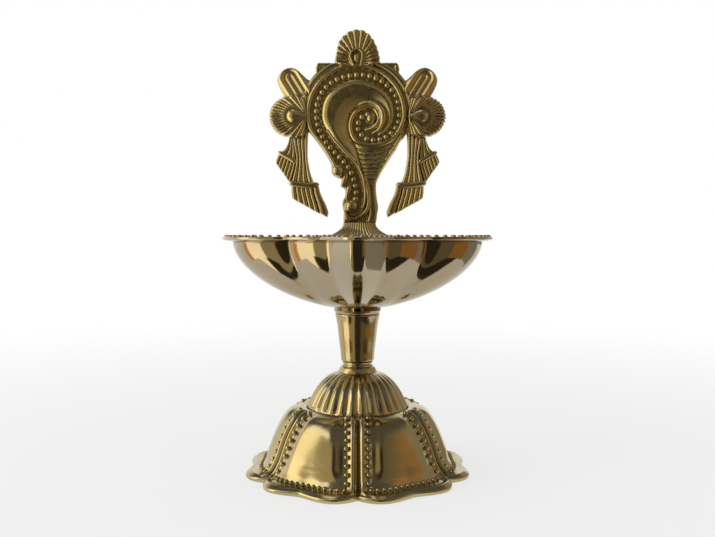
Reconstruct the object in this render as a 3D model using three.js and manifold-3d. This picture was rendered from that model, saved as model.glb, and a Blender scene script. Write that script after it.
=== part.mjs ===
// A footed oil lamp of cast and turned brass: a petalled foot, a fluted dome, a turned stem, a deep
// lobed bowl with a wick beak, and an upright relief plaque on a fluted foot at the back of the rim.
// Millimetres, +Z up. The origin is on the floor under the stem, the beak points to -Y.

import * as THREE from 'three';
import { mergeVertices } from 'three/addons/utils/BufferGeometryUtils.js';
import Module from 'manifold-3d';

const wasm = await Module();
wasm.setup();

// General fits.
const sideClearance = 0.3;       // all round between a piece and the piece that holds it
const endClearance = 0.5;        // left at the bottom of a blind hole

// Foot skirt, a hollow casting of petals.
const petalCount = 6;
const footWall = 2.2;
const skirtEdgeRadius = 44;      // mean radius of the lower edge
const notchDepth = 3.5;          // how far the edge draws in where two petals meet
const dentDepth = 1.7;           // and in the middle of a petal
const lobeGrowth = 3.9;          // how far the two lobes of a petal stand out past a line over both
const lobeLean = 1.35;           // over 1 brings the lobes nearer to the seams
const lipThickness = 1.9;
const lipBulge = 0.4;            // the rolled edge stands out this far
const restWidth = 2.6;           // flat face that stands on the floor
const flareWidth = 9.6;          // from the edge in to where the flare turns into the petal's bulge
const shoulderHeight = 11.4;
const shoulderSlope = 69.5;      // degrees below the horizontal
const crownWidth = 1.8;          // rolled top edge of the petals round the dome
const crownHeight = 26.5;
const seamRibHeight = 0.7;       // rounded rib beside each seam
const seamGrooveDepth = 0.8;
const seamRibOffset = 1.9;       // from the seam to the crest of its rib
const seamReliefWidth = 1.6 * seamRibOffset;

// Fluted dome that stands in the top of the skirt.
const domeLipRadius = 20.2;
const seatDepth = 2.3;           // how far the dome is let into the crown, on to the skirt's web
const seatUpright = 1.4;         // upright part of the seat's side, the rest is sloped
const webThickness = 2.4;
const domeWall = 2.4;
const domeFootBevel = 0.4;
const fluteCount = 28;
const fluteDepth = 1.1;
const collarRadius = 7.4;
const domeHeight = 16.1;
const collarHeight = 2.2;

// Stem, a turned sleeve.
const neckRadius = 5.8;
const stemLowRadius = 6.8;
const stemTopRadius = 9.45;
const neckLength = 2.1;
const stemLength = 21.4;
const stemRise = 1;              // slope between the neck and the sleeve
const stemFlare = 0.8;           // the top swells by this much
const stemFlareHeight = 2.6;
const stemRound = 0.7;           // rounding at the top edge, and its width
const stemRoundWidth = 0.2;
const neckGroove = 0.35;
const spigotHeight = 1.5;        // stem spigot in the dome's collar
const spigotRadius = 4.6;

// Socket under the bowl and the rod that draws the stack together.
const bossStep = 0.35;           // how far the socket's edge stands inside the stem's
const bossHeight = 1.6;
const bossBevel = 0.4;
const bossSpigotRadius = 5.4;
const bossSpigotDepth = 9;
const pipRadius = 4;             // pip on the socket, let into the bowl
const pipHeight = 1.2;
const rodRadius = 2;
const washerRadius = 8;
const washerThickness = 1.4;
const nutAcrossFlats = 8;
const nutHeight = 3.4;
const rodTail = 1.8;             // rod left showing under the nut
const rodBevel = 0.4;

// Bowl.
const bowlWall = 1.8;
const bowlFloor = 3;
const flangeThickness = 2;
const bowlHeight = 29.6;
const flangeOverhang = 4.2;
const bowlFullness = 1.75;       // exponent of the side profile
const sideLobeRadius = 20.3;
const sideLobeOffset = 30.2;     // sideways from the stem's axis
const frontLobeRadius = 24.4;
const frontLobeSide = 6.75;
const frontLobeForward = 5.25;
const backLobeRadius = 18;
const backLobeOffset = 15;
const beakReach = 43.3;
const beakNoseRadius = 3;
const beakSideAngle = 56.5;      // between the beak's axis and the normal of its side
const tabBorder = 2.7;           // flat tab showing beside the plaque's foot
const tabBehind = 1.3;

// Plaque foot, on the tab at the back of the rim.
const plaqueDistance = 39;       // middle of the plaque behind the stem's axis
const footHalfWidth = 15.3;
const footHalfDepth = 7.2;
const footNeckHalfWidth = 7.4;
const footNeckHalfDepth = 3.6;
const footHeight = 6.4;
const footFlare = 2.2;           // exponent, higher keeps the neck narrow for longer
const footRibCount = 28;
const footRibDepth = 0.35;
const plaqueShift = 0.9;         // the foot and the plaque's tail stand this far to the right
const tenonHalfWidth = 4.6;
const tenonThickness = 2.4;
const tenonLength = 4.6;
const screwRadius = 1.2;
const screwSpacing = 16.4;
const screwLength = 3.6;
const screwHeadRadius = 2.4;
const screwHeadHeight = 1.1;

// Plaque. Its own frame has its origin at the middle of the ring, +X right, +Y up, +Z to the front.
const ringRadius = 21.6;
const ringSetLeft = 0.7;         // the ring's middle lies a little left of the plate's
const plateBorder = 4.8;         // plate outside the ring
const plateThickness = 2.6;
const reliefHeight = 2;          // rosettes, leaves and ribbons over the plate
const ridgeRadius = 1.25;
const bodyHeight = 2.9;
const tailLength = 49.1;         // from the ring's middle down to the foot
const tailHalfWidth = 7.3;
const barHalfWidth = 18.7;
const barDrop = 3.4;             // top of the bar below the top of the plate
const barDepth = 4;
const rosetteRadius = 9.2;
const rosetteTeeth = 24;
const toothHeight = 0.45;
const rosetteOverlap = 4.8;      // how far a side rosette lies over the plate
const rosetteDrop = 1.4;         // its middle below the middle of the ring
const topRosetteRadius = 9.5;
const topRosetteRise = 4.9;      // middle of its arch over the bar
const leafRadius = 5.7;
const leafLength = 11;
const leafLean = 31.5;           // degrees outward
const leafInset = 6.4;           // its root inward from the rosette's middle
const leafRise = 5.5;            // and over the middle of the ring
const ribbonInset = 1.6;         // a ribbon hangs this far in from its rosette's middle
const ballRadius = 2.9;
const eyeRadius = 2;
const tieRadius = 0.95;          // cord tied round a ribbon
const tubeRadius = 1.1;          // rounded border at the foot of the tail

// How finely round shapes are divided, and how near to a corner an inner row may come.
const mergeGap = 1;
const turnedSides = 30;
const smallSides = 16;
const bowlColumns = 76;
const bowlRows = 7;
const seamSteps = 3;

const metals = {
  bowl: { color: 0xb9aa8a, roughness: 0.16, metalness: 1 },
  foot: { color: 0xb08f4c, roughness: 0.22, metalness: 1 },
  plaque: { color: 0x7d6534, roughness: 0.36, metalness: 1 },
  fastener: { color: 0x9a8450, roughness: 0.4, metalness: 1 },
};

const degrees = Math.PI / 180;

function signedVolume(position, index) {
  const a = new THREE.Vector3();
  const b = new THREE.Vector3();
  const c = new THREE.Vector3();
  let sum = 0;
  for (let i = 0; i < index.length; i += 3) {
    a.fromBufferAttribute(position, index[i]);
    b.fromBufferAttribute(position, index[i + 1]);
    c.fromBufferAttribute(position, index[i + 2]);
    sum += a.dot(b.cross(c)) / 6;
  }
  return sum;
}

// Skins a stack of rings with the same number of points. A looped stack joins its last ring to its
// first, and any other is closed by a fan at each end. The faces are turned outward.
function skinRings(rings, looped) {
  const count = rings[0].length;
  const points = rings.flat();
  const index = [];
  const steps = looped ? rings.length : rings.length - 1;
  for (let i = 0; i < steps; i++) {
    const low = i * count;
    const high = ((i + 1) % rings.length) * count;
    for (let j = 0; j < count; j++) {
      const k = (j + 1) % count;
      index.push(low + j, low + k, high + k);
      index.push(low + j, high + k, high + j);
    }
  }
  if (!looped) {
    addFan(points, index, 0, count, true);
    addFan(points, index, (rings.length - 1) * count, count, false);
  }
  const geometry = new THREE.BufferGeometry().setFromPoints(points);
  if (signedVolume(geometry.attributes.position, index) < 0) index.reverse();
  geometry.setIndex(index);
  return geometry;
}

function addFan(points, index, start, count, first) {
  const middle = new THREE.Vector3();
  for (let j = 0; j < count; j++) middle.addScaledVector(points[start + j], 1 / count);
  const centre = points.push(middle) - 1;
  for (let j = 0; j < count; j++) {
    const here = start + j;
    const next = start + ((j + 1) % count);
    if (first) index.push(centre, next, here);
    else index.push(centre, here, next);
  }
}

// Turns a profile of [radius, height] pairs about the Z axis.
function turned(profile, sides) {
  const points = profile.map(([radius, height]) => new THREE.Vector2(radius, height));
  const geometry = new THREE.LatheGeometry(points, sides);
  geometry.rotateX(Math.PI / 2);
  return outward(geometry);
}

function outward(geometry) {
  geometry.deleteAttribute('normal');
  geometry.deleteAttribute('uv');
  const merged = mergeVertices(geometry, 1e-4);
  const index = Array.from(merged.index.array);
  if (signedVolume(merged.attributes.position, index) < 0) index.reverse();
  merged.setIndex(index);
  return merged;
}

// A closed ring of rectangular section, as a profile for turned().
function tubeProfile(inner, outer, bottom, top) {
  return [[inner, bottom], [outer, bottom], [outer, top], [inner, top], [inner, bottom]];
}

function toSolid(geometry) {
  const closed = outward(geometry);
  return new wasm.Manifold(new wasm.Mesh({
    numProp: 3,
    vertProperties: new Float32Array(closed.attributes.position.array),
    triVerts: new Uint32Array(closed.index.array),
  }));
}

function toGeometry(solid) {
  const mesh = solid.getMesh();
  const geometry = new THREE.BufferGeometry();
  geometry.setAttribute('position', new THREE.BufferAttribute(mesh.vertProperties, 3));
  geometry.setIndex(new THREE.BufferAttribute(mesh.triVerts, 1));
  return geometry;
}

function joined(geometries) {
  return toGeometry(geometries.map(toSolid).reduce((whole, piece) => whole.add(piece)));
}

function cutBy(geometry, tools) {
  return toGeometry(tools.map(toSolid).reduce((whole, tool) => whole.subtract(tool), toSolid(geometry)));
}

function namedMesh(name, geometry, metal) {
  geometry.computeVertexNormals();
  const mesh = new THREE.Mesh(geometry, new THREE.MeshStandardMaterial(metal));
  mesh.name = name;
  return mesh;
}

const at = (radius, angle, height) =>
  new THREE.Vector3(radius * Math.cos(angle), radius * Math.sin(angle), height);

// Radii and heights that follow from the sizes above, from the floor up.
const crownRadius = domeLipRadius + crownWidth;
const shoulderRadius = skirtEdgeRadius - flareWidth;
const domeSeatHeight = crownHeight - seatDepth;
const webBottom = domeSeatHeight - webThickness;
const collarBottom = domeSeatHeight + domeHeight;
const collarTop = collarBottom + collarHeight;
const stemTop = collarTop + stemLength;
const bossRadius = stemTopRadius - bossStep;
const bowlBottom = stemTop + bossHeight;
const rodBottom = webBottom - washerThickness - nutHeight - rodTail;
const rodTop = stemTop + bossHeight / 2;
const rodHole = rodRadius + sideClearance;
const flangeTop = bowlBottom + bowlHeight;
const flangeBottom = flangeTop - flangeThickness;
const bowlDepth = flangeBottom - bowlBottom;
const bowlReach = sideLobeOffset + sideLobeRadius;
const tabHalfWidth = footHalfWidth + tabBorder;
const tabReach = plaqueDistance + footHalfDepth + tabBehind;
const plateRadius = ringRadius + plateBorder;
const barTop = plateRadius - barDrop;
const topRosetteCentre = barTop + topRosetteRise;
const sideRosetteOffset = plateRadius + rosetteRadius - rosetteOverlap;

// The skirt's outline from crown to lower edge: a bulge and then a flare, smooth where they meet.
function skirtCurve() {
  const crown = new THREE.Vector2(crownRadius, crownHeight);
  const shoulder = new THREE.Vector2(shoulderRadius, shoulderHeight);
  const edge = new THREE.Vector2(skirtEdgeRadius, lipThickness);
  const slope = new THREE.Vector2(Math.cos(shoulderSlope * degrees), -Math.sin(shoulderSlope * degrees));
  const bulgeHandle = crown.distanceTo(shoulder) / 2;
  const flareHandle = crown.distanceTo(shoulder) / 4;
  const bulge = new THREE.CubicBezierCurve(
    crown,
    new THREE.Vector2(crown.x + bulgeHandle / 2, crown.y),
    shoulder.clone().addScaledVector(slope, -bulgeHandle),
    shoulder,
  );
  const flare = new THREE.CubicBezierCurve(
    shoulder,
    shoulder.clone().addScaledVector(slope, flareHandle),
    new THREE.Vector2(edge.x - flareHandle, edge.y),
    edge,
  );
  return [...bulge.getPoints(5), ...flare.getPoints(3).slice(1)];
}

// Distance of the petals' lower edge from the axis, with a notch at each seam and two lobes between.
function petalEdge(angle) {
  const span = 2 * Math.PI / petalCount;
  const fromSeam = angle - span * Math.round(angle / span);
  const across = Math.max(0, 1 - Math.abs(fromSeam) / (span / 2));
  const chord = skirtEdgeRadius - dentDepth - (notchDepth - dentDepth) * across;
  return chord + lobeGrowth * Math.sin(Math.PI * across ** lobeLean);
}

// Columns of one petal: close together over the ribs beside its two seams, evenly spread between.
function skirtColumns() {
  const half = Math.PI / petalCount;
  const near = [0, seamRibOffset / 2, seamRibOffset, seamReliefWidth];
  const relief = [-seamGrooveDepth, 0, seamRibHeight, 0];
  const columns = [];
  for (let petal = 0; petal < petalCount; petal++) {
    const seam = 2 * half * petal - Math.PI / 2;
    near.forEach((offset, i) => columns.push({ seam, offset, share: 0, relief: relief[i] }));
    for (let i = 1; i < 2 * seamSteps; i++) {
      columns.push({ seam, offset: 0, share: i / (2 * seamSteps), relief: 0 });
    }
    for (let i = near.length - 1; i > 0; i--) {
      columns.push({ seam: seam + 2 * half, offset: -near[i], share: 0, relief: relief[i] });
    }
  }
  return columns;
}

function columnAngle(column, radius) {
  const reach = Math.max(radius, crownRadius);
  if (!column.share) return column.seam + column.offset / reach;
  const border = seamReliefWidth / reach;
  return column.seam + border + column.share * (2 * Math.PI / petalCount - 2 * border);
}

function footSkirt() {
  const outline = skirtCurve();
  const seatRadius = domeLipRadius + sideClearance;
  const rows = [
    { point: new THREE.Vector2(rodHole, domeSeatHeight), shaped: 0, ribbed: 0 },
    { point: new THREE.Vector2(seatRadius, domeSeatHeight), shaped: 0, ribbed: 0 },
    { point: new THREE.Vector2(seatRadius, domeSeatHeight + seatUpright), shaped: 0, ribbed: 0 },
  ];
  outline.forEach((point) => rows.push({ point, shaped: 1, ribbed: 1 }));
  rows.push({ point: new THREE.Vector2(skirtEdgeRadius + lipBulge, lipThickness / 2), shaped: 1, ribbed: 0 });
  rows.push({ point: new THREE.Vector2(skirtEdgeRadius, 0), shaped: 1, ribbed: 0 });
  rows.push({ point: new THREE.Vector2(skirtEdgeRadius - restWidth, 0), shaped: 1, ribbed: 0 });
  offsetInward(outline, footWall)
    .filter((p) => p.x < skirtEdgeRadius - restWidth - mergeGap && p.y > mergeGap / 3)
    .filter((p) => p.y < webBottom - mergeGap / 2)
    .reverse()
    .forEach((point) => rows.push({ point, shaped: 1, ribbed: 0 }));
  rows.push({ point: new THREE.Vector2(crownRadius + mergeGap, webBottom), shaped: 0, ribbed: 0 });
  rows.push({ point: new THREE.Vector2(rodHole, webBottom), shaped: 0, ribbed: 0 });
  const columns = skirtColumns();
  const rings = rows.map((row, i) => {
    const normal = rowNormal(rows, i);
    return columns.map((column) => {
      const angle = columnAngle(column, row.point.x);
      const spread = Math.max(0, (row.point.x - crownRadius) / (skirtEdgeRadius - crownRadius)) ** 3;
      const plan = 1 + row.shaped * spread * (petalEdge(angle + Math.PI / 2) / skirtEdgeRadius - 1);
      const relief = row.ribbed * column.relief;
      return at(row.point.x * plan + relief * normal.x, angle, row.point.y + relief * normal.y);
    });
  });
  return skinRings(rings, true);
}

function rowNormal(rows, i) {
  const before = rows[Math.max(0, i - 1)].point;
  const after = rows[Math.min(rows.length - 1, i + 1)].point;
  const along = after.clone().sub(before).normalize();
  return new THREE.Vector2(-along.y, along.x);
}

// Moves a profile that runs outward and down by a distance toward its inside.
function offsetInward(profile, distance) {
  return profile.map((point, i) => {
    const before = profile[Math.max(0, i - 1)];
    const after = profile[Math.min(profile.length - 1, i + 1)];
    const along = after.clone().sub(before).normalize();
    return new THREE.Vector2(point.x + distance * along.y, point.y - distance * along.x);
  });
}

// The dome's outer profile, from its lip to the foot of the collar.
function domeCurve() {
  const lip = new THREE.Vector2(domeLipRadius, crownHeight);
  const top = new THREE.Vector2(collarRadius, collarBottom);
  const rise = top.y - lip.y;
  return new THREE.CubicBezierCurve(
    lip,
    new THREE.Vector2(lip.x - 0.16 * rise, lip.y + 0.42 * rise),
    new THREE.Vector2(top.x + 0.52 * (lip.x - top.x), top.y - 0.1 * rise),
    top,
  ).getPoints(5);
}

function footDome() {
  const curve = domeCurve();
  const steps = curve.length - 1;
  const inside = [
    new THREE.Vector2(domeLipRadius - fluteDepth - domeWall, domeSeatHeight),
    ...offsetInward([...curve].reverse(), domeWall + fluteDepth / 2).reverse().slice(1, steps),
  ].filter((p) => p.x > spigotRadius + domeWall);
  const socketFloor = collarTop - spigotHeight - endClearance;
  const ceiling = Math.min(inside[inside.length - 1].y + 1, collarBottom - domeWall);
  const rows = [
    { point: new THREE.Vector2(domeLipRadius - domeFootBevel, domeSeatHeight), depth: fluteDepth },
    ...curve.map((point, i) => ({ point, depth: fluteDepth * (1 - (i / steps) ** 2) })),
    { point: new THREE.Vector2(collarRadius, collarTop), depth: 0 },
    { point: new THREE.Vector2(spigotRadius + sideClearance, collarTop), depth: 0 },
    { point: new THREE.Vector2(spigotRadius + sideClearance, socketFloor), depth: 0 },
    { point: new THREE.Vector2(rodHole, socketFloor), depth: 0 },
    { point: new THREE.Vector2(rodHole, ceiling), depth: 0 },
    ...inside.reverse().map((point) => ({ point, depth: 0 })),
  ];
  const shares = [0, 0.28, 0.72];
  const rings = rows.map(({ point, depth }) => {
    const ring = [];
    for (let flute = 0; flute < fluteCount; flute++) {
      shares.forEach((share) => {
        const angle = (flute + share) * 2 * Math.PI / fluteCount - Math.PI / 2;
        ring.push(at(point.x - depth * (1 - Math.sin(Math.PI * share)), angle, point.y));
      });
    }
    return ring;
  });
  return skinRings(rings, true);
}

function stem() {
  const bottom = collarTop;
  const bodyBottom = bottom + neckLength;
  const ringRadii = [0.2, 0.6].flatMap((share) => [
    [neckRadius + neckGroove, bottom + share * neckLength],
    [neckRadius, bottom + (share + 0.2) * neckLength],
  ]);
  return turned([
    [rodHole, bottom - spigotHeight],
    [spigotRadius, bottom - spigotHeight],
    [spigotRadius, bottom],
    [neckRadius, bottom],
    ...ringRadii,
    [neckRadius + neckGroove, bodyBottom],
    [stemLowRadius, bodyBottom + stemRise],
    [stemTopRadius - stemFlare, stemTop - stemFlareHeight],
    [stemTopRadius, stemTop - stemRound],
    [stemTopRadius - stemRoundWidth, stemTop],
    [bossSpigotRadius + sideClearance, stemTop],
    [bossSpigotRadius + sideClearance, stemTop - bossSpigotDepth - endClearance],
    [rodHole, stemTop - bossSpigotDepth - endClearance],
    [rodHole, bottom - spigotHeight],
  ], turnedSides);
}

function bowlBoss() {
  return turned([
    [0, rodTop + endClearance / 2],
    [rodHole, rodTop + endClearance / 2],
    [rodHole, stemTop - bossSpigotDepth],
    [bossSpigotRadius, stemTop - bossSpigotDepth],
    [bossSpigotRadius, stemTop],
    [bossRadius - bossBevel, stemTop],
    [bossRadius, stemTop + bossHeight / 2],
    [bossRadius - bossBevel, bowlBottom],
    [pipRadius, bowlBottom],
    [pipRadius, bowlBottom + pipHeight],
    [0, bowlBottom + pipHeight],
  ], turnedSides);
}

function tieRod() {
  return turned([
    [0, rodBottom],
    [rodRadius - rodBevel, rodBottom],
    [rodRadius, rodBottom + rodBevel],
    [rodRadius, rodTop - rodBevel],
    [rodRadius - rodBevel, rodTop],
    [0, rodTop],
  ], smallSides);
}

const rodWasher = () => turned(
  tubeProfile(rodHole, washerRadius, webBottom - washerThickness, webBottom),
  turnedSides,
);

function rodNut() {
  const outline = new THREE.Shape();
  const cornerRadius = nutAcrossFlats / Math.sqrt(3);
  for (let i = 0; i < 6; i++) {
    const angle = i * 60 * degrees;
    outline[i ? 'lineTo' : 'moveTo'](cornerRadius * Math.cos(angle), cornerRadius * Math.sin(angle));
  }
  outline.holes.push(new THREE.Path().absarc(0, 0, rodHole, 0, 2 * Math.PI, true));
  return plate(outline, nutHeight).translate(0, 0, webBottom - washerThickness - nutHeight);
}

// Distance from the axis to the far side of a circle along a ray, or 0 where the ray misses it.
function rayToCircle(angle, x, y, radius) {
  const along = x * Math.cos(angle) + y * Math.sin(angle);
  const reach = along * along - x * x - y * y + radius * radius;
  return reach < 0 ? 0 : along + Math.sqrt(reach);
}

// The beak's plan: two straight sides and a round nose between them.
function rayToBeak(angle, grown) {
  const fromFront = Math.abs(Math.atan2(Math.cos(angle), -Math.sin(angle)));
  if (fromFront > Math.PI / 3) return 0;
  const side = beakSideAngle * degrees;
  const nose = beakReach - beakNoseRadius;
  const radius = beakNoseRadius + grown;
  const tangent = Math.atan2(radius * Math.sin(side), nose + radius * Math.cos(side));
  if (fromFront < tangent) return rayToCircle(angle, 0, -nose, radius);
  return (radius + nose * Math.cos(side)) / Math.cos(side - fromFront);
}

function rayToTab(angle) {
  const x = Math.abs(Math.cos(angle)) / tabHalfWidth;
  const y = Math.sin(angle) / tabReach;
  return y > 0 ? (x ** 4 + y ** 4) ** -0.25 : 0;
}

// The lobes that make up the bowl's plan, each as its reach along a ray, grown by a distance.
function lobeReaches(angle, grown, withTab) {
  const front = frontLobeRadius + grown;
  const sides = sideLobeRadius + grown;
  return [
    rayToBeak(angle, grown),
    rayToCircle(angle, frontLobeSide, -frontLobeForward, front),
    rayToCircle(angle, -frontLobeSide, -frontLobeForward, front),
    rayToCircle(angle, sideLobeOffset, 0, sides),
    rayToCircle(angle, -sideLobeOffset, 0, sides),
    rayToCircle(angle, frontLobeSide, frontLobeForward, front),
    rayToCircle(angle, -frontLobeSide, frontLobeForward, front),
    rayToCircle(angle, 0, backLobeOffset, backLobeRadius + grown),
    withTab ? rayToTab(angle) : 0,
  ];
}

const planReach = (angle, grown, withTab) => Math.max(...lobeReaches(angle, grown, withTab));

// Evenly spread columns, with the nearest one moved on to each crease between two lobes.
function bowlAngles() {
  const step = 2 * Math.PI / bowlColumns;
  const winner = (angle) => {
    const reaches = lobeReaches(angle, 0, false);
    return reaches.indexOf(Math.max(...reaches));
  };
  const angles = [];
  for (let i = 0; i < bowlColumns; i++) angles.push((i + 0.5) * step - Math.PI / 2);
  for (let i = 0; i < bowlColumns; i++) {
    let low = (i + 0.5) * step - Math.PI / 2;
    let high = low + step;
    const lobe = winner(low);
    if (winner(high) === lobe) continue;
    for (let k = 0; k < 20; k++) {
      const middle = (low + high) / 2;
      if (winner(middle) === lobe) low = middle;
      else high = middle;
    }
    const nearer = low - angles[i] < step / 2 ? i : (i + 1) % bowlColumns;
    angles[nearer] = low > angles[nearer] + Math.PI ? low - 2 * Math.PI : low;
  }
  return angles;
}

// One ring of the bowl's side at a share of the way down. The lobes fade into a round base.
function bowlRing(angles, share, grown, depth) {
  const turn = share * Math.PI / 2;
  const width = Math.cos(turn) ** (2 / bowlFullness);
  const drop = depth * Math.sin(turn) ** (2 / bowlFullness);
  const fade = THREE.MathUtils.smoothstep(share, 0.45, 0.98);
  return angles.map((angle) => {
    const plan = planReach(angle, grown, false);
    const mixed = plan + (bowlReach + grown - plan) * fade;
    return at(mixed * width, angle, flangeBottom - drop);
  });
}

function bowl() {
  const angles = bowlAngles();
  const level = (reach, height) => angles.map((angle) => at(reach(angle), angle, height));
  const lastShare = Math.acos((bossRadius / bowlReach) ** (bowlFullness / 2)) * 2 / Math.PI;
  const innerDepth = bowlDepth - bowlFloor;
  const rings = [
    level(() => pipRadius + sideClearance, bowlBottom + pipHeight + endClearance / 2),
    level(() => pipRadius + sideClearance, bowlBottom),
    level(() => bossRadius, bowlBottom),
  ];
  for (let i = bowlRows - 1; i >= 0; i--) {
    rings.push(bowlRing(angles, lastShare * i / bowlRows, 0, bowlDepth));
  }
  rings.push(level((angle) => planReach(angle, flangeOverhang, true), flangeBottom));
  rings.push(level((angle) => planReach(angle, flangeOverhang, true), flangeTop));
  rings.push(level((angle) => planReach(angle, -bowlWall, false), flangeTop));
  for (let i = 1; i <= bowlRows; i++) {
    rings.push(bowlRing(angles, lastShare * i / bowlRows, -bowlWall, innerDepth));
  }
  const shell = skinRings(rings, false);
  const holes = screwPlaces().map(([x, y]) => screwHole(4 * flangeThickness).translate(x, y, flangeTop));
  return cutBy(shell, holes);
}

// An upright cutter for a screw hole, with its middle at the origin.
function screwHole(length) {
  const radius = screwRadius + sideClearance;
  return new THREE.CylinderGeometry(radius, radius, length, smallSides).rotateX(Math.PI / 2);
}

const screwPlaces = () => [-1, 1].map((side) => [plaqueShift + side * screwSpacing / 2, plaqueDistance]);

// The plaque's foot: a flare from an oval neck to an oval base, ribbed like a shell.
function plaqueFoot() {
  const steps = 5;
  const columns = footRibCount * 2;
  const rings = [];
  for (let i = 0; i <= steps; i++) {
    const share = i / steps;
    const flare = (1 - share) ** footFlare;
    const halfWidth = footNeckHalfWidth + (footHalfWidth - footNeckHalfWidth) * flare;
    const halfDepth = footNeckHalfDepth + (footHalfDepth - footNeckHalfDepth) * flare;
    const ring = [];
    for (let j = 0; j < columns; j++) {
      const angle = 2 * Math.PI * j / columns;
      const rib = (j % 2 ? -1 : 0) * footRibDepth;
      const x = (halfWidth + rib) * Math.cos(angle) + plaqueShift;
      const y = (halfDepth + rib) * Math.sin(angle) + plaqueDistance;
      ring.push(new THREE.Vector3(x, y, flangeTop + footHeight * share));
    }
    rings.push(ring);
  }
  const slotDepth = tenonLength + endClearance;
  const slot = new THREE.BoxGeometry(
    2 * (tenonHalfWidth + sideClearance),
    tenonThickness + 2 * sideClearance,
    2 * slotDepth,
  ).translate(plaqueShift, plaqueDistance, flangeTop + footHeight);
  const tapped = screwLength - flangeThickness + endClearance;
  const holes = screwPlaces().map(([x, y]) => screwHole(2 * tapped).translate(x, y, flangeTop));
  return cutBy(skinRings(rings, false), [slot, ...holes]);
}

function plaqueScrew([x, y]) {
  const seat = flangeBottom;
  return turned([
    [0, seat - screwHeadHeight],
    [screwHeadRadius * 0.6, seat - screwHeadHeight],
    [screwHeadRadius, seat - screwHeadHeight * 0.4],
    [screwHeadRadius, seat],
    [screwRadius, seat],
    [screwRadius, seat + screwLength],
    [0, seat + screwLength],
  ], smallSides).translate(x, y, 0);
}

const flat = (pairs) => pairs.map(([x, y]) => new THREE.Vector2(x, y));

// A plate with the outline given and its back at 0.
function plate(shape, height) {
  return new THREE.ExtrudeGeometry(shape, { depth: height, bevelEnabled: false, curveSegments: smallSides });
}

// A rounded ridge along a line of points that lie at one height, with an eight-sided section.
function ridge(pairs, radius, height, steps) {
  const path = new THREE.CatmullRomCurve3(pairs.map(([x, y]) => new THREE.Vector3(x, y, height)));
  const section = new THREE.Shape().absarc(0, 0, radius, 0, 2 * Math.PI);
  return new THREE.ExtrudeGeometry(section, {
    steps,
    curveSegments: 4,
    extrudePath: path,
    bevelEnabled: false,
  });
}

// A long swelling that lies on the plate. Each station is [x, y, half width].
function swelling(stations, base, height) {
  const line = new THREE.CatmullRomCurve3(stations.map(([x, y]) => new THREE.Vector3(x, y, 0)));
  const widths = new THREE.CatmullRomCurve3(stations.map(([, , width], i) => new THREE.Vector3(i, width, 0)));
  const steps = 2 * (stations.length - 1);
  const fullWidth = ringRadius / 5;
  const rootDepth = plateThickness / 4;
  const rings = [];
  for (let i = 0; i <= steps; i++) {
    const centre = line.getPoint(i / steps);
    const tangent = line.getTangent(i / steps);
    const across = new THREE.Vector3(-tangent.y, tangent.x, 0);
    const width = widths.getPoint(i / steps).y;
    const ring = [];
    for (let k = 0; k < 10; k++) {
      const angle = 2 * Math.PI * k / 10;
      const arch = Math.sin(angle) * height * Math.min(1, width / fullWidth);
      const lift = arch < 0 ? -rootDepth : arch;
      ring.push(centre.clone().addScaledVector(across, width * Math.cos(angle)).setZ(base + lift));
    }
    rings.push(ring);
  }
  return skinRings(rings, false);
}

// A tail share is a hundredth of the tail's length. The ribbons are drawn in the same shares.
const tailShare = tailLength / 100;

// A point of the shell, as shares of the ring's radius from the ring's middle.
const onShell = (x, y) => [x * ringRadius, y * ringRadius];

// A point of the tail, to the right of its middle and up from its lower end in tail shares.
const onTail = (x, y) => [plaqueShift + x, y * tailShare - tailLength];

// A point beside a rosette, from its middle outward and up.
const besideRosette = (side, x, y) => [side * (sideRosetteOffset + x), y];

// The main plate: a disc cut level at the top of the bar. It draws in below the side rosettes and
// runs down into a tapered tail.
function mainPlate() {
  const shape = new THREE.Shape();
  const rightJoin = -8 * degrees;
  const leftJoin = 188 * degrees;
  const level = Math.asin(barTop / plateRadius);
  shape.absarc(0, 0, plateRadius, rightJoin, level, false);
  shape.absarc(0, 0, plateRadius, Math.PI - level, leftJoin, false);
  shape.splineThru(flat([
    onShell(-1.01, -0.51),
    onShell(-0.83, -0.71),
    onShell(-0.7, -0.86),
    onShell(-0.55, -1.12),
    onShell(-0.54, -1.25),
    onShell(-0.43, -1.33),
    onTail(-tailHalfWidth - 2.4 * tailShare, 33.6),
    onTail(-tailHalfWidth + 1.6 * tailShare, 25.7),
    onTail(-tailHalfWidth - 1 * tailShare, 18.5),
    onTail(-tailHalfWidth, 0),
  ]));
  shape.lineTo(...onTail(tailHalfWidth, 0));
  shape.splineThru(flat([
    onTail(tailHalfWidth + 2.4 * tailShare, 14.1),
    onTail(tailHalfWidth + 0.6 * tailShare, 32),
    onShell(0.49, -1.24),
    onShell(0.73, -0.86),
    onShell(0.96, -0.5),
    [plateRadius * Math.cos(rightJoin), plateRadius * Math.sin(rightJoin)],
  ]));
  return plate(shape, plateThickness);
}

// Toothed outline of a rosette, as a share of its radius at an angle.
const toothed = (angle, teeth) => 1 + toothHeight * Math.abs(Math.sin(angle * teeth / 2)) / rosetteRadius;

function sideRosette(side) {
  const shape = new THREE.Shape();
  const steps = rosetteTeeth * 3;
  for (let i = 0; i < steps; i++) {
    const angle = 2 * Math.PI * i / steps;
    const radius = (rosetteRadius - toothHeight) * toothed(angle, rosetteTeeth);
    shape[i ? 'lineTo' : 'moveTo'](radius * Math.cos(angle), radius * Math.sin(angle));
  }
  const disc = plate(shape, plateThickness + reliefHeight);
  disc.translate(...besideRosette(side, 0, -rosetteDrop), 0);
  const boss = new THREE.SphereGeometry(ballRadius, 12, 6);
  boss.translate(...besideRosette(side, -ballRadius / 2, -rosetteDrop), plateThickness + reliefHeight);
  return [disc, boss];
}

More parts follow.
